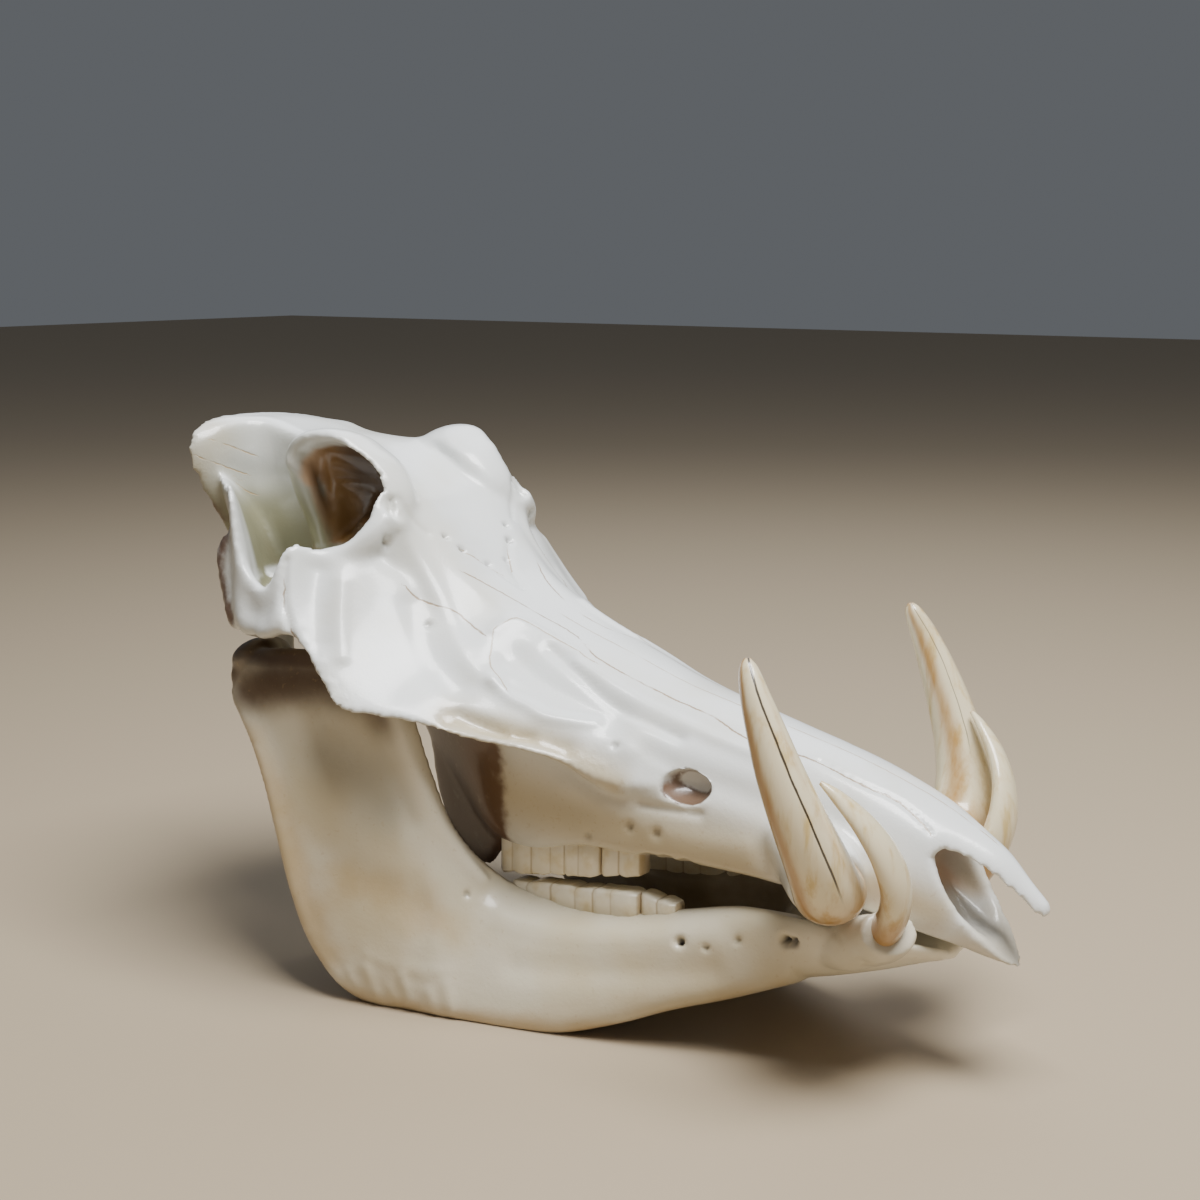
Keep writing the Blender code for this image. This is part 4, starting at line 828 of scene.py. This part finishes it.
def roughened(tree, place, height):
    """The height with coarse bumps added where the bone is rough."""
    where = sums(tree, "MULTIPLY", attribute_node(tree, "rough"), 1.3)
    bumps = sums(tree, "MULTIPLY", clouds(tree, place, 0.0022, 4.0, 0.65), where)
    return sums(tree, "ADD", height, bumps)


def coat(tree, shader, colour, height, bump, ior, lacquer):
    """Joins colour and surface height to the shader, under a clear coat. Bump is strength and distance, and
    lacquer is weight and roughness."""
    strength, distance = bump
    bumps = add(tree, "Bump", {"Height": height, "Strength": strength, "Distance": distance})
    tree.links.new(colour, shader.inputs["Base Color"])
    tree.links.new(bumps.outputs["Normal"], shader.inputs["Normal"])
    shader.inputs["IOR"].default_value = ior
    shader.inputs["Coat Weight"].default_value, shader.inputs["Coat Roughness"].default_value = lacquer


def seam_line(tree, place, name, width, wander):
    """1 on the seams of this name and 0 off them. Width and wander are in mm."""
    ragged = centred(tree, clouds(tree, place, 0.0022, 4.0, 0.7), wander)
    off = sums(tree, "ABSOLUTE", sums(tree, "ADD", attribute_node(tree, name), ragged))
    line = between(tree, off, width, width * 0.35)
    broken = between(tree, clouds(tree, place, 0.012), 0.36, 0.50)
    return sums(tree, "MULTIPLY", line, sums(tree, "MULTIPLY", attribute_node(tree, name + "_near"), broken))


# Lacquered white bone: whitened until it is nearly neutral, so the eye sees cool white with cream low down, tan
# seams and grey-green in the temples. Painted shade greys the steep sides and darkens the crevices, the lower
# bone, the depths of the temples, the holes and the undersides, and turns brown in the eye sockets. A clear
# coat gives sharp highlights over it.
bone_material, tree, shader = new_material("whitened_bone_lacquered")
place = add(tree, "TexCoord").outputs["Object"]
colour = tinted(tree, "#EBEEED", between(tree, clouds(tree, place, 0.035), 0.45, 0.75), "#E2E1D8")
# Painted shade: the steep sides greyed.
colour = stained(tree, colour, attribute_node(tree, "side"), 0.55, "#BDBDB4")
# Cream, partly painted shade on down-facing bone and in the tusks' shadow.
colour = stained(tree, colour, attribute_node(tree, "cream_and_shade"), 0.85, "#BBA980")
# Grey-green in the temples, with painted shade deeper in.
colour = stained(tree, colour, attribute_node(tree, "temple_tint_and_shade"), 0.90, "#76734F")
# Painted shade: brown darkening in crevices and hollows, by how sheltered each place is.
uneven = centred(tree, clouds(tree, place, 0.006), 0.25)
crevice_shade = between(tree, sums(tree, "ADD", attribute_node(tree, "sheltered"), uneven), 0.38, 0.85)
colour = stained(tree, colour, crevice_shade, 0.75, "#8E6F45")
speckle = between(tree, clouds(tree, place, 0.0011, 2.0), 0.60, 0.72)
in_cream = sums(tree, "MULTIPLY", attribute_node(tree, "cream_and_shade"), 0.30)
colour = stained(tree, colour, speckle, in_cream, "#A98F66")
# Painted brown shade under the arches, behind the teeth, on the palate and in the holes.
uneven = centred(tree, clouds(tree, place, 0.004), 0.9)
cranium_brown_shade = between(tree, sums(tree, "ADD", attribute_node(tree, "brown_shade"), uneven), 0.25, 0.95)
colour = stained(tree, colour, cranium_brown_shade, 0.92, "#583510")
pink = between(tree, attribute_node(tree, "nostril"), 0.1, 0.9)
colour = stained(tree, colour, pink, 0.8, "#D6B79B")
# Painted shade inside the pits and holes.
colour = stained(tree, colour, attribute_node(tree, "hole_shade"), 0.85, "#3B2A16")
# Painted shade in the eye sockets: tan at the rim, brown further in and dark brown deepest.
inwards = between(tree, attribute_node(tree, "eye_depth"), 0.0, 0.45)
deepest = between(tree, attribute_node(tree, "eye_depth"), 0.45, 1.0)
socket_shade_colour = tinted(tree, tinted(tree, "#C4A586", inwards, "#7E5B2C"), deepest, "#4A2F0A")
colour = tinted(tree, colour, attribute_node(tree, "eye_socket"), socket_shade_colour)
seams = seam_line(tree, place, "seams", 0.55, 1.6)
fine_seams = seam_line(tree, place, "fine_seams", 0.45, 1.2)
colour = stained(tree, colour, seams, 0.85, "#947347")
colour = stained(tree, colour, fine_seams, 0.70, "#AC8D5C")
grooves = sums(tree, "MULTIPLY", sums(tree, "ADD", seams, fine_seams), 0.8)
height = sums(tree, "SUBTRACT", grain(tree, place, 0.0008, 0.30, 0.006), grooves)
height = roughened(tree, place, height)
dull = sums(tree, "MULTIPLY", sums(tree, "ADD", crevice_shade, attribute_node(tree, "eye_socket")), 0.3)
tree.links.new(sums(tree, "ADD", 0.34, dull), shader.inputs["Roughness"])
coat(tree, shader, colour, height, (0.40, 0.0006), 1.5, (0.55, 0.13))


def settle(obj, node, material):
    """A finished piece: its material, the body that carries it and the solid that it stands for."""
    obj.data.materials.clear()
    obj.data.materials.append(material)
    obj.data.shade_smooth()
    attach(obj, "root")
    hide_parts(node)


settle(cranium, "cranium", bone_material)


# The lower jaw: two long halves knitted together at the chin. One piece of bone, whitened less than the
# cranium, so it is warmer. It hangs from the joint under the ear and stands on its two curved angles.

JAW_GRAIN = 0.0013

# The jaw's side from the joint forward: lower and upper edges as (x, y, z), then thickness low, mid and high.
JAW_SIDE = (
    ((-0.1400, 0.083, 0.121), (-0.1435, 0.080, 0.135), 0.007, 0.008, 0.007),
    ((-0.1290, 0.084, 0.106), (-0.136, 0.077, 0.141), 0.009, 0.010, 0.012),
    ((-0.1185, 0.085, 0.084), (-0.126, 0.076, 0.143), 0.011, 0.009, 0.012),
    ((-0.1075, 0.084, 0.042), (-0.111, 0.077, 0.145), 0.012, 0.008, 0.008),
    ((-0.0985, 0.082, 0.018), (-0.099, 0.075, 0.146), 0.013, 0.008, 0.006),
    ((-0.085, 0.080, 0.003), (-0.086, 0.073, 0.145), 0.014, 0.008, 0.006),
    ((-0.070, 0.077, -0.002), (-0.072, 0.070, 0.142), 0.015, 0.009, 0.006),
    ((-0.057, 0.074, -0.002), (-0.061, 0.067, 0.130), 0.015, 0.010, 0.007),
    ((-0.047, 0.072, -0.002), (-0.052, 0.063, 0.100), 0.015, 0.011, 0.008),
    ((-0.038, 0.070, -0.002), (-0.044, 0.057, 0.073), 0.016, 0.017, 0.011),
    ((-0.027, 0.067, -0.002), (-0.030, 0.044, 0.051), 0.017, 0.024, 0.022),
    ((-0.006, 0.062, -0.002), (-0.006, 0.037, 0.045), 0.017, 0.027, 0.024),
    ((0.012, 0.057, 0.000), (0.012, 0.0355, 0.045), 0.017, 0.026, 0.022),
    ((0.034, 0.050, 0.007), (0.034, 0.0345, 0.048), 0.017, 0.024, 0.020),
    ((0.054, 0.043, 0.015), (0.054, 0.0330, 0.053), 0.017, 0.022, 0.017),
    ((0.076, 0.034, 0.022), (0.076, 0.0315, 0.058), 0.018, 0.020, 0.014),
    ((0.100, 0.024, 0.031), (0.100, 0.0310, 0.059), 0.018, 0.018, 0.013),
)

# The chin, where both sides meet: half outlines from the top middle round to the bottom middle.
CHIN = (
    (0.062, ((0, 0.027), (0.014, 0.027), (0.024, 0.032), (0.031, 0.038), (0.036, 0.036), (0.036, 0.028),
             (0.024, 0.022), (0, 0.0235))),
    (0.074, ((0, 0.034), (0.012, 0.035), (0.023, 0.045), (0.032, 0.055), (0.037, 0.048), (0.035, 0.032),
             (0.024, 0.023), (0, 0.0245))),
    (0.090, ((0, 0.043), (0.012, 0.044), (0.025, 0.053), (0.034, 0.059), (0.038, 0.048), (0.033, 0.035),
             (0.020, 0.028), (0, 0.027))),
    (0.110, ((0, 0.048), (0.012, 0.048), (0.026, 0.055), (0.037, 0.060), (0.038, 0.050), (0.029, 0.038),
             (0.016, 0.033), (0, 0.032))),
    (0.128, ((0, 0.050), (0.012, 0.050), (0.024, 0.055), (0.035, 0.059), (0.034, 0.051), (0.024, 0.042),
             (0.012, 0.038), (0, 0.037))),
    (0.141, ((0, 0.050), (0.009, 0.050), (0.018, 0.053), (0.026, 0.056), (0.024, 0.050), (0.016, 0.045),
             (0.008, 0.042), (0, 0.041))),
    (0.152, ((0, 0.0485), (0.004, 0.0485), (0.008, 0.050), (0.011, 0.050), (0.010, 0.0475), (0.007, 0.0455),
             (0.003, 0.0445), (0, 0.044))),
)

jaw_side = loft([slab_ring(low, high, a, b, c) for low, high, a, b, c in JAW_SIDE])
joint_head = ball((-0.1380, 0.070, 0.1370), (0.0080, 0.0160, 0.0080))
lower_tusk_sheath = sweep(((0.112, 0.026, 0.048), (0.124, 0.031, 0.053), (0.134, 0.036, 0.059)),
                          ((0.008, 0.009), (0.010, 0.011), (0.009, 0.010)), facing=(0, 0, 1))
tusk_collar = sweep(((0.1270, 0.0300, 0.0535), (0.1370, 0.0350, 0.0590), (0.1425, 0.0392, 0.0640)),
                    ((0.009, 0.010), (0.0095, 0.0115), (0.0085, 0.0110)), facing=(0, 0, 1))
jaw = bone_object("lower_jaw_bone", [loft([whole_ring(x, half) for x, half in CHIN])]
                  + both([jaw_side, joint_head, lower_tusk_sheath, tusk_collar]), [], JAW_GRAIN)
def stand_on_table(obj):
    """Cuts off flat whatever reaches below the table."""
    for vert in obj.data.vertices:
        vert.co.z = max(vert.co.z, 0.0)


stand_on_table(jaw)

# The front edge of the jaw's upright branch, which is both a ridge and bleached.
BRANCH_EDGE = ((-0.063, 0.071, 0.124), (-0.056, 0.069, 0.104), (-0.049, 0.064, 0.080), (-0.040, 0.058, 0.064))
# Marks on the jaw's left half: depth, half width and line. A negative depth is a ridge.
JAW_RELIEF = (
    (0.0018, 0.0150, ((-0.096, 0.081, 0.106), (-0.080, 0.079, 0.100), (-0.066, 0.077, 0.088))),
    (0.0012, 0.0100, ((-0.092, 0.083, 0.062), (-0.070, 0.080, 0.052), (-0.045, 0.076, 0.044))),
    (-0.0018, 0.0032, (*BRANCH_EDGE, (-0.030, 0.054, 0.056))),
    (0.0010, 0.0040, ((-0.071, 0.073, 0.118), (-0.064, 0.071, 0.098), (-0.056, 0.069, 0.078))),
    (-0.0012, 0.0040, ((-0.136, 0.086, 0.120), (-0.1135, 0.089, 0.072), (-0.1010, 0.087, 0.030),
                       (-0.085, 0.085, 0.010))),
    (-0.0009, 0.0055, ((-0.020, 0.056, 0.040), (0.010, 0.053, 0.040), (0.040, 0.049, 0.044),
                       (0.070, 0.041, 0.047))),
    (0.0012, 0.0060, ((-0.010, 0.062, 0.024), (0.030, 0.054, 0.028), (0.070, 0.043, 0.034))),
    (-0.0006, 0.0022, ((-0.0760, 0.085, 0.007), (-0.0790, 0.085, 0.014))),
    (-0.0008, 0.0026, ((-0.0665, 0.083, 0.005), (-0.0700, 0.084, 0.017))),
    (-0.0005, 0.0020, ((-0.0580, 0.081, 0.004), (-0.0600, 0.082, 0.010))),
    (-0.0008, 0.0024, ((-0.0515, 0.079, 0.006), (-0.0545, 0.080, 0.016))),
    (-0.0006, 0.0022, ((-0.0410, 0.077, 0.003), (-0.0425, 0.078, 0.011))),
    (-0.0007, 0.0026, ((-0.0330, 0.075, 0.004), (-0.0350, 0.076, 0.015))),
    (-0.0004, 0.0030, ((-0.0700, 0.082, 0.022), (-0.0500, 0.079, 0.019), (-0.0350, 0.075, 0.020))),
)
JAW_PITS = (
    (0.0060, 0.0019, (0.0990, 0.0384, 0.0508)), (0.0045, 0.0016, (0.1030, 0.0380, 0.0514)),
    (0.0050, 0.0016, (0.0570, 0.0452, 0.0438)), (0.0020, 0.0011, (0.0679, 0.0437, 0.0433)),
    (0.0016, 0.0014, (0.0800, 0.0410, 0.0480)), (0.0014, 0.0014, (-0.034, 0.062, 0.050)),
)
JAW_ROUGH = (
    (0.0080, 0.0008, ((0.118, 0.026, 0.050), (0.135, 0.018, 0.050), (0.150, 0.004, 0.049))),
    (0.0060, 0.0010, ((0.118, 0.034, 0.056), (0.136, 0.036, 0.056))),
    (0.0040, 0.0006, ((-0.034, 0.043, 0.050), (0.000, 0.040, 0.049), (0.032, 0.038, 0.050))),
)
# Patches, in the same way as the cranium's. The brown is the painted shadow of the cheek plate over the top of
# the branch and painted shade in a hole of the chin; the tan runs along the angle and the lower body.
JAW_BROWN_SHADE = (
    (0.013, 1.0, ((-0.143, 0.080, 0.132), (-0.136, 0.077, 0.141), (-0.120, 0.078, 0.143),
                  (-0.095, 0.076, 0.144))),
    (0.014, 0.85, ((-0.132, 0.082, 0.126), (-0.105, 0.080, 0.132), (-0.080, 0.077, 0.132),
                   (-0.066, 0.072, 0.124))),
    (0.0022, 1.0, ((0.0990, 0.0384, 0.0508), (0.1030, 0.0382, 0.0510))),
)
JAW_TAN = (
    (0.011, 0.8, ((-0.128, 0.087, 0.105), (-0.116, 0.089, 0.080), (-0.105, 0.088, 0.045),
                  (-0.092, 0.086, 0.020))),
    (0.013, 0.6, ((-0.080, 0.081, 0.052), (-0.052, 0.078, 0.044), (-0.030, 0.072, 0.034))),
    (0.010, 0.6, ((0.020, 0.050, 0.010), (0.060, 0.043, 0.018), (0.100, 0.036, 0.030))),
)
JAW_GREY = ((0.014, 1.0, ((-0.094, 0.081, 0.104), (-0.078, 0.079, 0.098), (-0.066, 0.077, 0.086))),)
JAW_BLEACHED = (
    (0.015, 1.0, ((0.115, 0.026, 0.054), (0.135, 0.018, 0.054), (0.152, 0.0, 0.050))),
    (0.0045, 0.8, (*BRANCH_EDGE, (-0.028, 0.054, 0.056))),
)
carve(jaw, JAW_RELIEF, JAW_PITS, JAW_ROUGH)
stand_on_table(jaw)
half, half_normals = left_half(*vertex_arrays(jaw))
attribute(jaw, "sheltered", shelter(jaw))
# Painted brown shade on the inner faces, which face away from the light.
inner_face = (smoothstep(0.15, -0.35, half_normals[:, 1]) * smoothstep(0.0, 0.02, half[:, 1])
              * smoothstep(0.085, 0.060, half[:, 0]) * 0.60)
attribute(jaw, "brown_shade", np.maximum.reduce(patches(half, JAW_BROWN_SHADE) + [inner_face]))
# Painted shade near the table, added to the tan.
table_shade = smoothstep(0.012, 0.002, half[:, 2]) * 0.7
attribute(jaw, "tan_and_table_shade", np.clip(sum(patches(half, JAW_TAN)) + table_shade, 0, 1))
attribute(jaw, "grey", np.maximum.reduce(patches(half, JAW_GREY)))
attribute(jaw, "bleached", np.maximum.reduce(patches(half, JAW_BLEACHED)))

# Lacquered cream bone: warmer than the cranium and tan along the angle and the lower body. Painted shade
# darkens it near the table and in crevices, and turns brown on the inner faces and under the cheeks.
jaw_material, tree, shader = new_material("cream_bone_lacquered")
place = add(tree, "TexCoord").outputs["Object"]
colour = tinted(tree, "#D2CAB4", between(tree, clouds(tree, place, 0.030), 0.42, 0.72), "#C9BC9C")
ragged = centred(tree, clouds(tree, place, 0.012, 4.0), 0.9)
tan_and_table_shade = between(tree, sums(tree, "ADD", attribute_node(tree, "tan_and_table_shade"), ragged), 0.15, 0.95)
colour = stained(tree, colour, tan_and_table_shade, 0.60, "#B49660")
# Painted brown shade on the inner faces, under the cheek plate and in a hole of the chin.
less_ragged = sums(tree, "MULTIPLY", ragged, 0.4)
brown_shade = between(tree, sums(tree, "ADD", attribute_node(tree, "brown_shade"), less_ragged), 0.10, 0.90)
colour = stained(tree, colour, brown_shade, 0.94, "#472C08")
# Painted shade: darker in crevices and hollows, by how sheltered each place is.
crevice_shade = between(tree, attribute_node(tree, "sheltered"), 0.42, 0.85)
colour = stained(tree, colour, crevice_shade, 0.65, "#7E6238")
colour = stained(tree, colour, attribute_node(tree, "grey"), 0.60, "#A3A194")
colour = stained(tree, colour, attribute_node(tree, "bleached"), 0.9, "#F1EBD8")
# Painted shade inside the holes.
colour = stained(tree, colour, attribute_node(tree, "hole_shade"), 0.95, "#170E06")
flecks = between(tree, clouds(tree, place, 0.0012, 2.0), 0.64, 0.74)
colour = stained(tree, colour, flecks, 0.20, "#A98C5C")
height = roughened(tree, place, grain(tree, place, 0.0009, 0.35, 0.007))
shader.inputs["Roughness"].default_value = 0.42
coat(tree, shader, colour, height, (0.40, 0.0006), 1.5, (0.45, 0.16))
settle(jaw, "mandible", jaw_material)


# The upper tusks: solid ivory canines that leave their bony collars sideways and curl up and in. They are
# pushed into their sockets and polished, and drying cracks run along them.

SIDES = {"right": -1, "left": 1}
TUSK_SIDES = 40  # points round a tusk

# Points along a tusk from the root to the tip: place, and half thickness along and across the skull.
UPPER_TUSK = (
    ((0.090, 0.0220, 0.0895), 0.0080, 0.0075),
    ((0.105, 0.0300, 0.0835), 0.0110, 0.0100),
    ((0.118, 0.0410, 0.0775), 0.0130, 0.0115),
    ((0.1255, 0.0540, 0.0800), 0.0132, 0.0114),
    ((0.1250, 0.0620, 0.0925), 0.0122, 0.0106),
    ((0.1200, 0.0670, 0.1085), 0.0106, 0.0095),
    ((0.1135, 0.0690, 0.1245), 0.0090, 0.0083),
    ((0.1075, 0.0690, 0.1390), 0.0073, 0.0068),
    ((0.1020, 0.0680, 0.1515), 0.0055, 0.0052),
    ((0.0980, 0.0660, 0.1605), 0.0035, 0.0034),
    ((0.0970, 0.0650, 0.1640), 0.0012, 0.0012),
)


def tusk(path):
    """A left-hand tusk through these points."""
    return sweep([p for p, _, _ in path], [(a, b) for _, a, b in path], facing=(1, 0, 0.2), steps=8,
                 around=TUSK_SIDES)


def side_shapes(shape, sign):
    """The left-hand shape for the left side, and its mirror image for the right."""
    return [shape if sign > 0 else mirrored(shape)]


# Golden bands along the tusk (angle from the front, half width in degrees, strength) and its cracks (angle, and
# the share of the tusk where the crack starts). Angles turn outwards.
UPPER_BANDS = ((128, 26, 1.0), (-75, 30, 0.8), (20, 14, 0.45))
UPPER_CRACKS = ((52, 0.33), (-35, 0.45))


def stain_tusk(obj, bands, cracks, around=TUSK_SIDES):
    """Golden bands and dark cracks along a tusk, for the material."""
    count = len(obj.data.vertices) // around
    angle = np.tile(np.arange(around) * 360 / around, count)
    along = np.repeat(np.arange(count) / (count - 1), around)
    points, _ = vertex_arrays(obj)
    middles = points.reshape(count, around, 3).mean(1)
    radius = np.sqrt(((points - np.repeat(middles, around, axis=0)) ** 2).sum(1)) * 1000

    def off(centre):
        return (angle - centre + 180) % 360 - 180

    golden = np.zeros(len(angle))
    for centre, width, strength in bands:
        golden = np.maximum(golden, strength * np.exp(-(off(centre) / width) ** 2))
    golden = np.maximum(golden, 0.9 * smoothstep(0.42, 0.25, along))
    attribute(obj, "golden", np.maximum(golden, 0.7 * smoothstep(0.94, 1.0, along)))
    for k, (centre, start) in enumerate(cracks):
        wander = 5 * np.sin(along * 9 + k)
        attribute(obj, f"crack_{k}", np.clip(np.radians(off(centre + wander)) * radius, -6, 6))
        attribute(obj, f"crack_{k}_near", smoothstep(start, start + 0.06, along) * (np.abs(off(centre)) < 60))


def crack_line(tree, name, streaks, edge, core):
    """1 on a crack and 0 off it. Its edge and its core are in mm from its middle."""
    off = sums(tree, "ABSOLUTE", sums(tree, "ADD", attribute_node(tree, name), centred(tree, streaks, 0.8)))
    return sums(tree, "MULTIPLY", between(tree, off, edge, core), attribute_node(tree, name + "_near"))


# Polished ivory: cream to the eye, with honey bands where the surface is stained, thin dark drying cracks and
# faint lines along the tusk.
ivory_material, tree, shader = new_material("polished_tusk_ivory")
place = add(tree, "TexCoord").outputs["Object"]
lengthwise = add(tree, "Mapping", {"Vector": place, "Scale": (1.0, 1.0, 0.18)}).outputs["Vector"]
streaks = clouds(tree, lengthwise, 0.0030, 4.0, 0.6)
colour = tinted(tree, "#E8DBB8", between(tree, streaks, 0.45, 0.75), "#D2B87C")
uneven = centred(tree, streaks, 0.5)
golden = between(tree, sums(tree, "ADD", attribute_node(tree, "golden"), uneven), 0.15, 1.0)
colour = stained(tree, colour, golden, 0.88, "#A87934")
crack = crack_line(tree, "crack_0", streaks, 0.62, 0.22)
thin_crack = crack_line(tree, "crack_1", streaks, 0.30, 0.10)
cracks = sums(tree, "ADD", crack, sums(tree, "MULTIPLY", thin_crack, 0.6), clamp=True)
colour = stained(tree, colour, cracks, 0.95, "#2C2118")
height = sums(tree, "SUBTRACT", sums(tree, "MULTIPLY", streaks, 0.4), cracks)
shader.inputs["Roughness"].default_value = 0.3
coat(tree, shader, colour, height, (0.35, 0.0005), 1.54, (0.7, 0.06))

for side, sign in SIDES.items():
    piece = object_from(f"upper_tusk_ivory_{side}", side_shapes(tusk(UPPER_TUSK), sign))
    stain_tusk(piece, UPPER_BANDS, UPPER_CRACKS)
    settle(piece, f"upper_tusk_{side}", ivory_material)


# The lower tusks: short flat blades of ivory, rooted in the chin. They wear against the upper tusks, and the
# right one is stained inside where it wears.

LOWER_TUSK = (
    ((0.1260, 0.0290, 0.0530), 0.0055, 0.0062),
    ((0.1365, 0.0345, 0.0605), 0.0062, 0.0080),
    ((0.1445, 0.0405, 0.0715), 0.0058, 0.0088),
    ((0.1480, 0.0465, 0.0845), 0.0050, 0.0086),
    ((0.1460, 0.0525, 0.0975), 0.0040, 0.0074),
    ((0.1400, 0.0575, 0.1090), 0.0031, 0.0055),
    ((0.1320, 0.0612, 0.1180), 0.0021, 0.0031),
    ((0.1262, 0.0635, 0.1230), 0.0008, 0.0008),
)
LOWER_BANDS = {"right": ((150, 60, 0.7),), "left": ((150, 60, 0.1),)}
LOWER_CRACKS = ((165, 0.7), (200, 0.8))

for side, sign in SIDES.items():
    piece = object_from(f"lower_tusk_ivory_{side}", side_shapes(tusk(LOWER_TUSK), sign))
    stain_tusk(piece, LOWER_BANDS[side], LOWER_CRACKS)
    settle(piece, f"lower_tusk_{side}", ivory_material)


# The cheek teeth: long ridged grinding teeth of enamel-covered columns, rooted in the upper and lower jaw
# bones. Each half of each jaw has a long rear one and a short worn one before it.

# Ends from back to front (x), inner and outer face (y), root and chewing ends (z) at both ends, and the folds.
MOLARS = {
    "upper_rear_molar": ((-0.0365, 0.0136), (0.0270, 0.0390), (0.0780, 0.0800), (0.0515, 0.0590), 6),
    "upper_front_molar": ((0.0140, 0.0325), (0.0270, 0.0385), (0.0800, 0.0820), (0.0592, 0.0628), 2),
    "lower_rear_molar": ((-0.0305, 0.0322), (0.0280, 0.0395), (0.0380, 0.0400), (0.0500, 0.0565), 6),
    "lower_front_molar": ((0.0326, 0.0490), (0.0275, 0.0375), (0.0410, 0.0450), (0.0568, 0.0545), 2),
}
FOLD_STEPS = 12  # rings to each fold


def uneven_fold(share, folds):
    """0 in the groove between two columns and 1 on a column. The columns are not all the same width."""
    place = share * folds + 0.16 * math.sin(2 * math.pi * share * 1.5) * (folds > 2)
    return math.sqrt(abs(math.sin(math.pi * place)))


def molar(ends, faces, roots, crowns, folds):
    """A cheek tooth as a row of folds: it narrows between one fold and the next."""
    steps = FOLD_STEPS * folds
    rings = []
    for k in range(steps + 1):
        share = k / steps
        fold = uneven_fold(share, folds)
        end = min(1.0, 0.72 + min(share, 1 - share) * folds)
        half = (faces[1] - faces[0]) / 2 * (0.88 + 0.12 * fold) * end
        middle = (faces[0] + faces[1]) / 2
        root = roots[0] + (roots[1] - roots[0]) * share
        crown = crowns[0] + (crowns[1] - crowns[0]) * share
        crown += math.copysign(0.0007 * (1 - fold) + 0.0005 * math.sin(share * folds * 2.3), root - crown)
        shoulder = crown + math.copysign(0.0012, root - crown)
        corners = ((-0.80, crown), (0.80, crown), (1.0, shoulder), (0.90, root), (-0.90, root),
                   (-1.0, shoulder))
        x = ends[0] + (ends[1] - ends[0]) * share
        rings.append([Vector((x, middle + half * y, z)) for y, z in corners])
    return loft(rings, along=1)


# Worn enamel: glossy cream, darker brown in the folds between the columns.
enamel_material, tree, shader = new_material("worn_tooth_enamel")
place = add(tree, "TexCoord").outputs["Object"]
colour = tinted(tree, "#E9E1CA", between(tree, clouds(tree, place, 0.006), 0.45, 0.75), "#D9C9A0")
fold_darkening = between(tree, attribute_node(tree, "fold"), 0.50, 1.0)
colour = stained(tree, colour, fold_darkening, 0.60, "#A68A5A")
tree.links.new(colour, shader.inputs["Base Color"])
shader.inputs["Roughness"].default_value = 0.3
shader.inputs["IOR"].default_value = 1.62
for side, sign in SIDES.items():
    for name, sizes in MOLARS.items():
        piece = object_from(f"{name}_enamel_{side}", side_shapes(molar(*sizes), sign))
        ends, folds = sizes[0], sizes[4]
        points, _ = vertex_arrays(piece)
        share = (points[:, 0] - ends[0]) / (ends[1] - ends[0])
        attribute(piece, "fold", np.array([1 - uneven_fold(one, folds) for one in share]))
        settle(piece, f"{name}_{side}", enamel_material)


# The table and the light: a plain pale floor, one soft light overhead and before the snout, a weak cool one
# behind, and a weak warm one low at the side, as light off a table is.

floor_material, tree, shader = new_material("plain_pale_floor")
shader.inputs["Base Color"].default_value = linear("#A89880")
shader.inputs["Roughness"].default_value = 0.7
ground = bmesh.new()
bmesh.ops.create_grid(ground, x_segments=1, y_segments=1, size=6.0)
floor = object_from("pale_floor", [ground])
floor.data.materials.append(floor_material)

world = bpy.data.worlds.new("studio")
bpy.context.scene.world = world
world.use_nodes = True
world.node_tree.nodes["Background"].inputs["Color"].default_value = linear("#D8DEE6")
world.node_tree.nodes["Background"].inputs["Strength"].default_value = 0.17
SKULL_MIDDLE = Vector((0, 0, 0.12))

def soft_light(name, place, power, size, colour):
    """A square lamp turned to the middle of the skull. Power is in watts and size in metres."""
    lamp = bpy.data.lights.new(name, "AREA")
    lamp.energy = power
    lamp.size = size
    lamp.color = linear(colour)[:3]
    obj = bpy.data.objects.new(name, lamp)
    bpy.context.scene.collection.objects.link(obj)
    obj.location = place
    obj.rotation_euler = (SKULL_MIDDLE - Vector(place)).to_track_quat("-Z", "Y").to_euler()


soft_light("overhead", (0.45, -0.15, 1.5), 50, 0.8, "#FFFFFF")
soft_light("behind", (-0.5, 0.9, 1.2), 6, 1.0, "#F0F6FF")
soft_light("low", (0.2, -1.2, 0.25), 0.7, 0.6, "#FFE3C4")

# The photo's camera: to the right of the snout, a little above it and far off, with a long lens.
CAMERA_TILT, CAMERA_TURN = 79.56, 35.0
camera = bpy.data.cameras.new("camera")
camera.lens = 57.0
camera.sensor_width = 36.0
eye = bpy.data.objects.new("camera", camera)
eye.location = (0.431, -0.633, 0.306)
eye.rotation_euler = (math.radians(CAMERA_TILT), 0.0, math.radians(CAMERA_TURN))
bpy.context.scene.collection.objects.link(eye)
bpy.context.scene.camera = eye
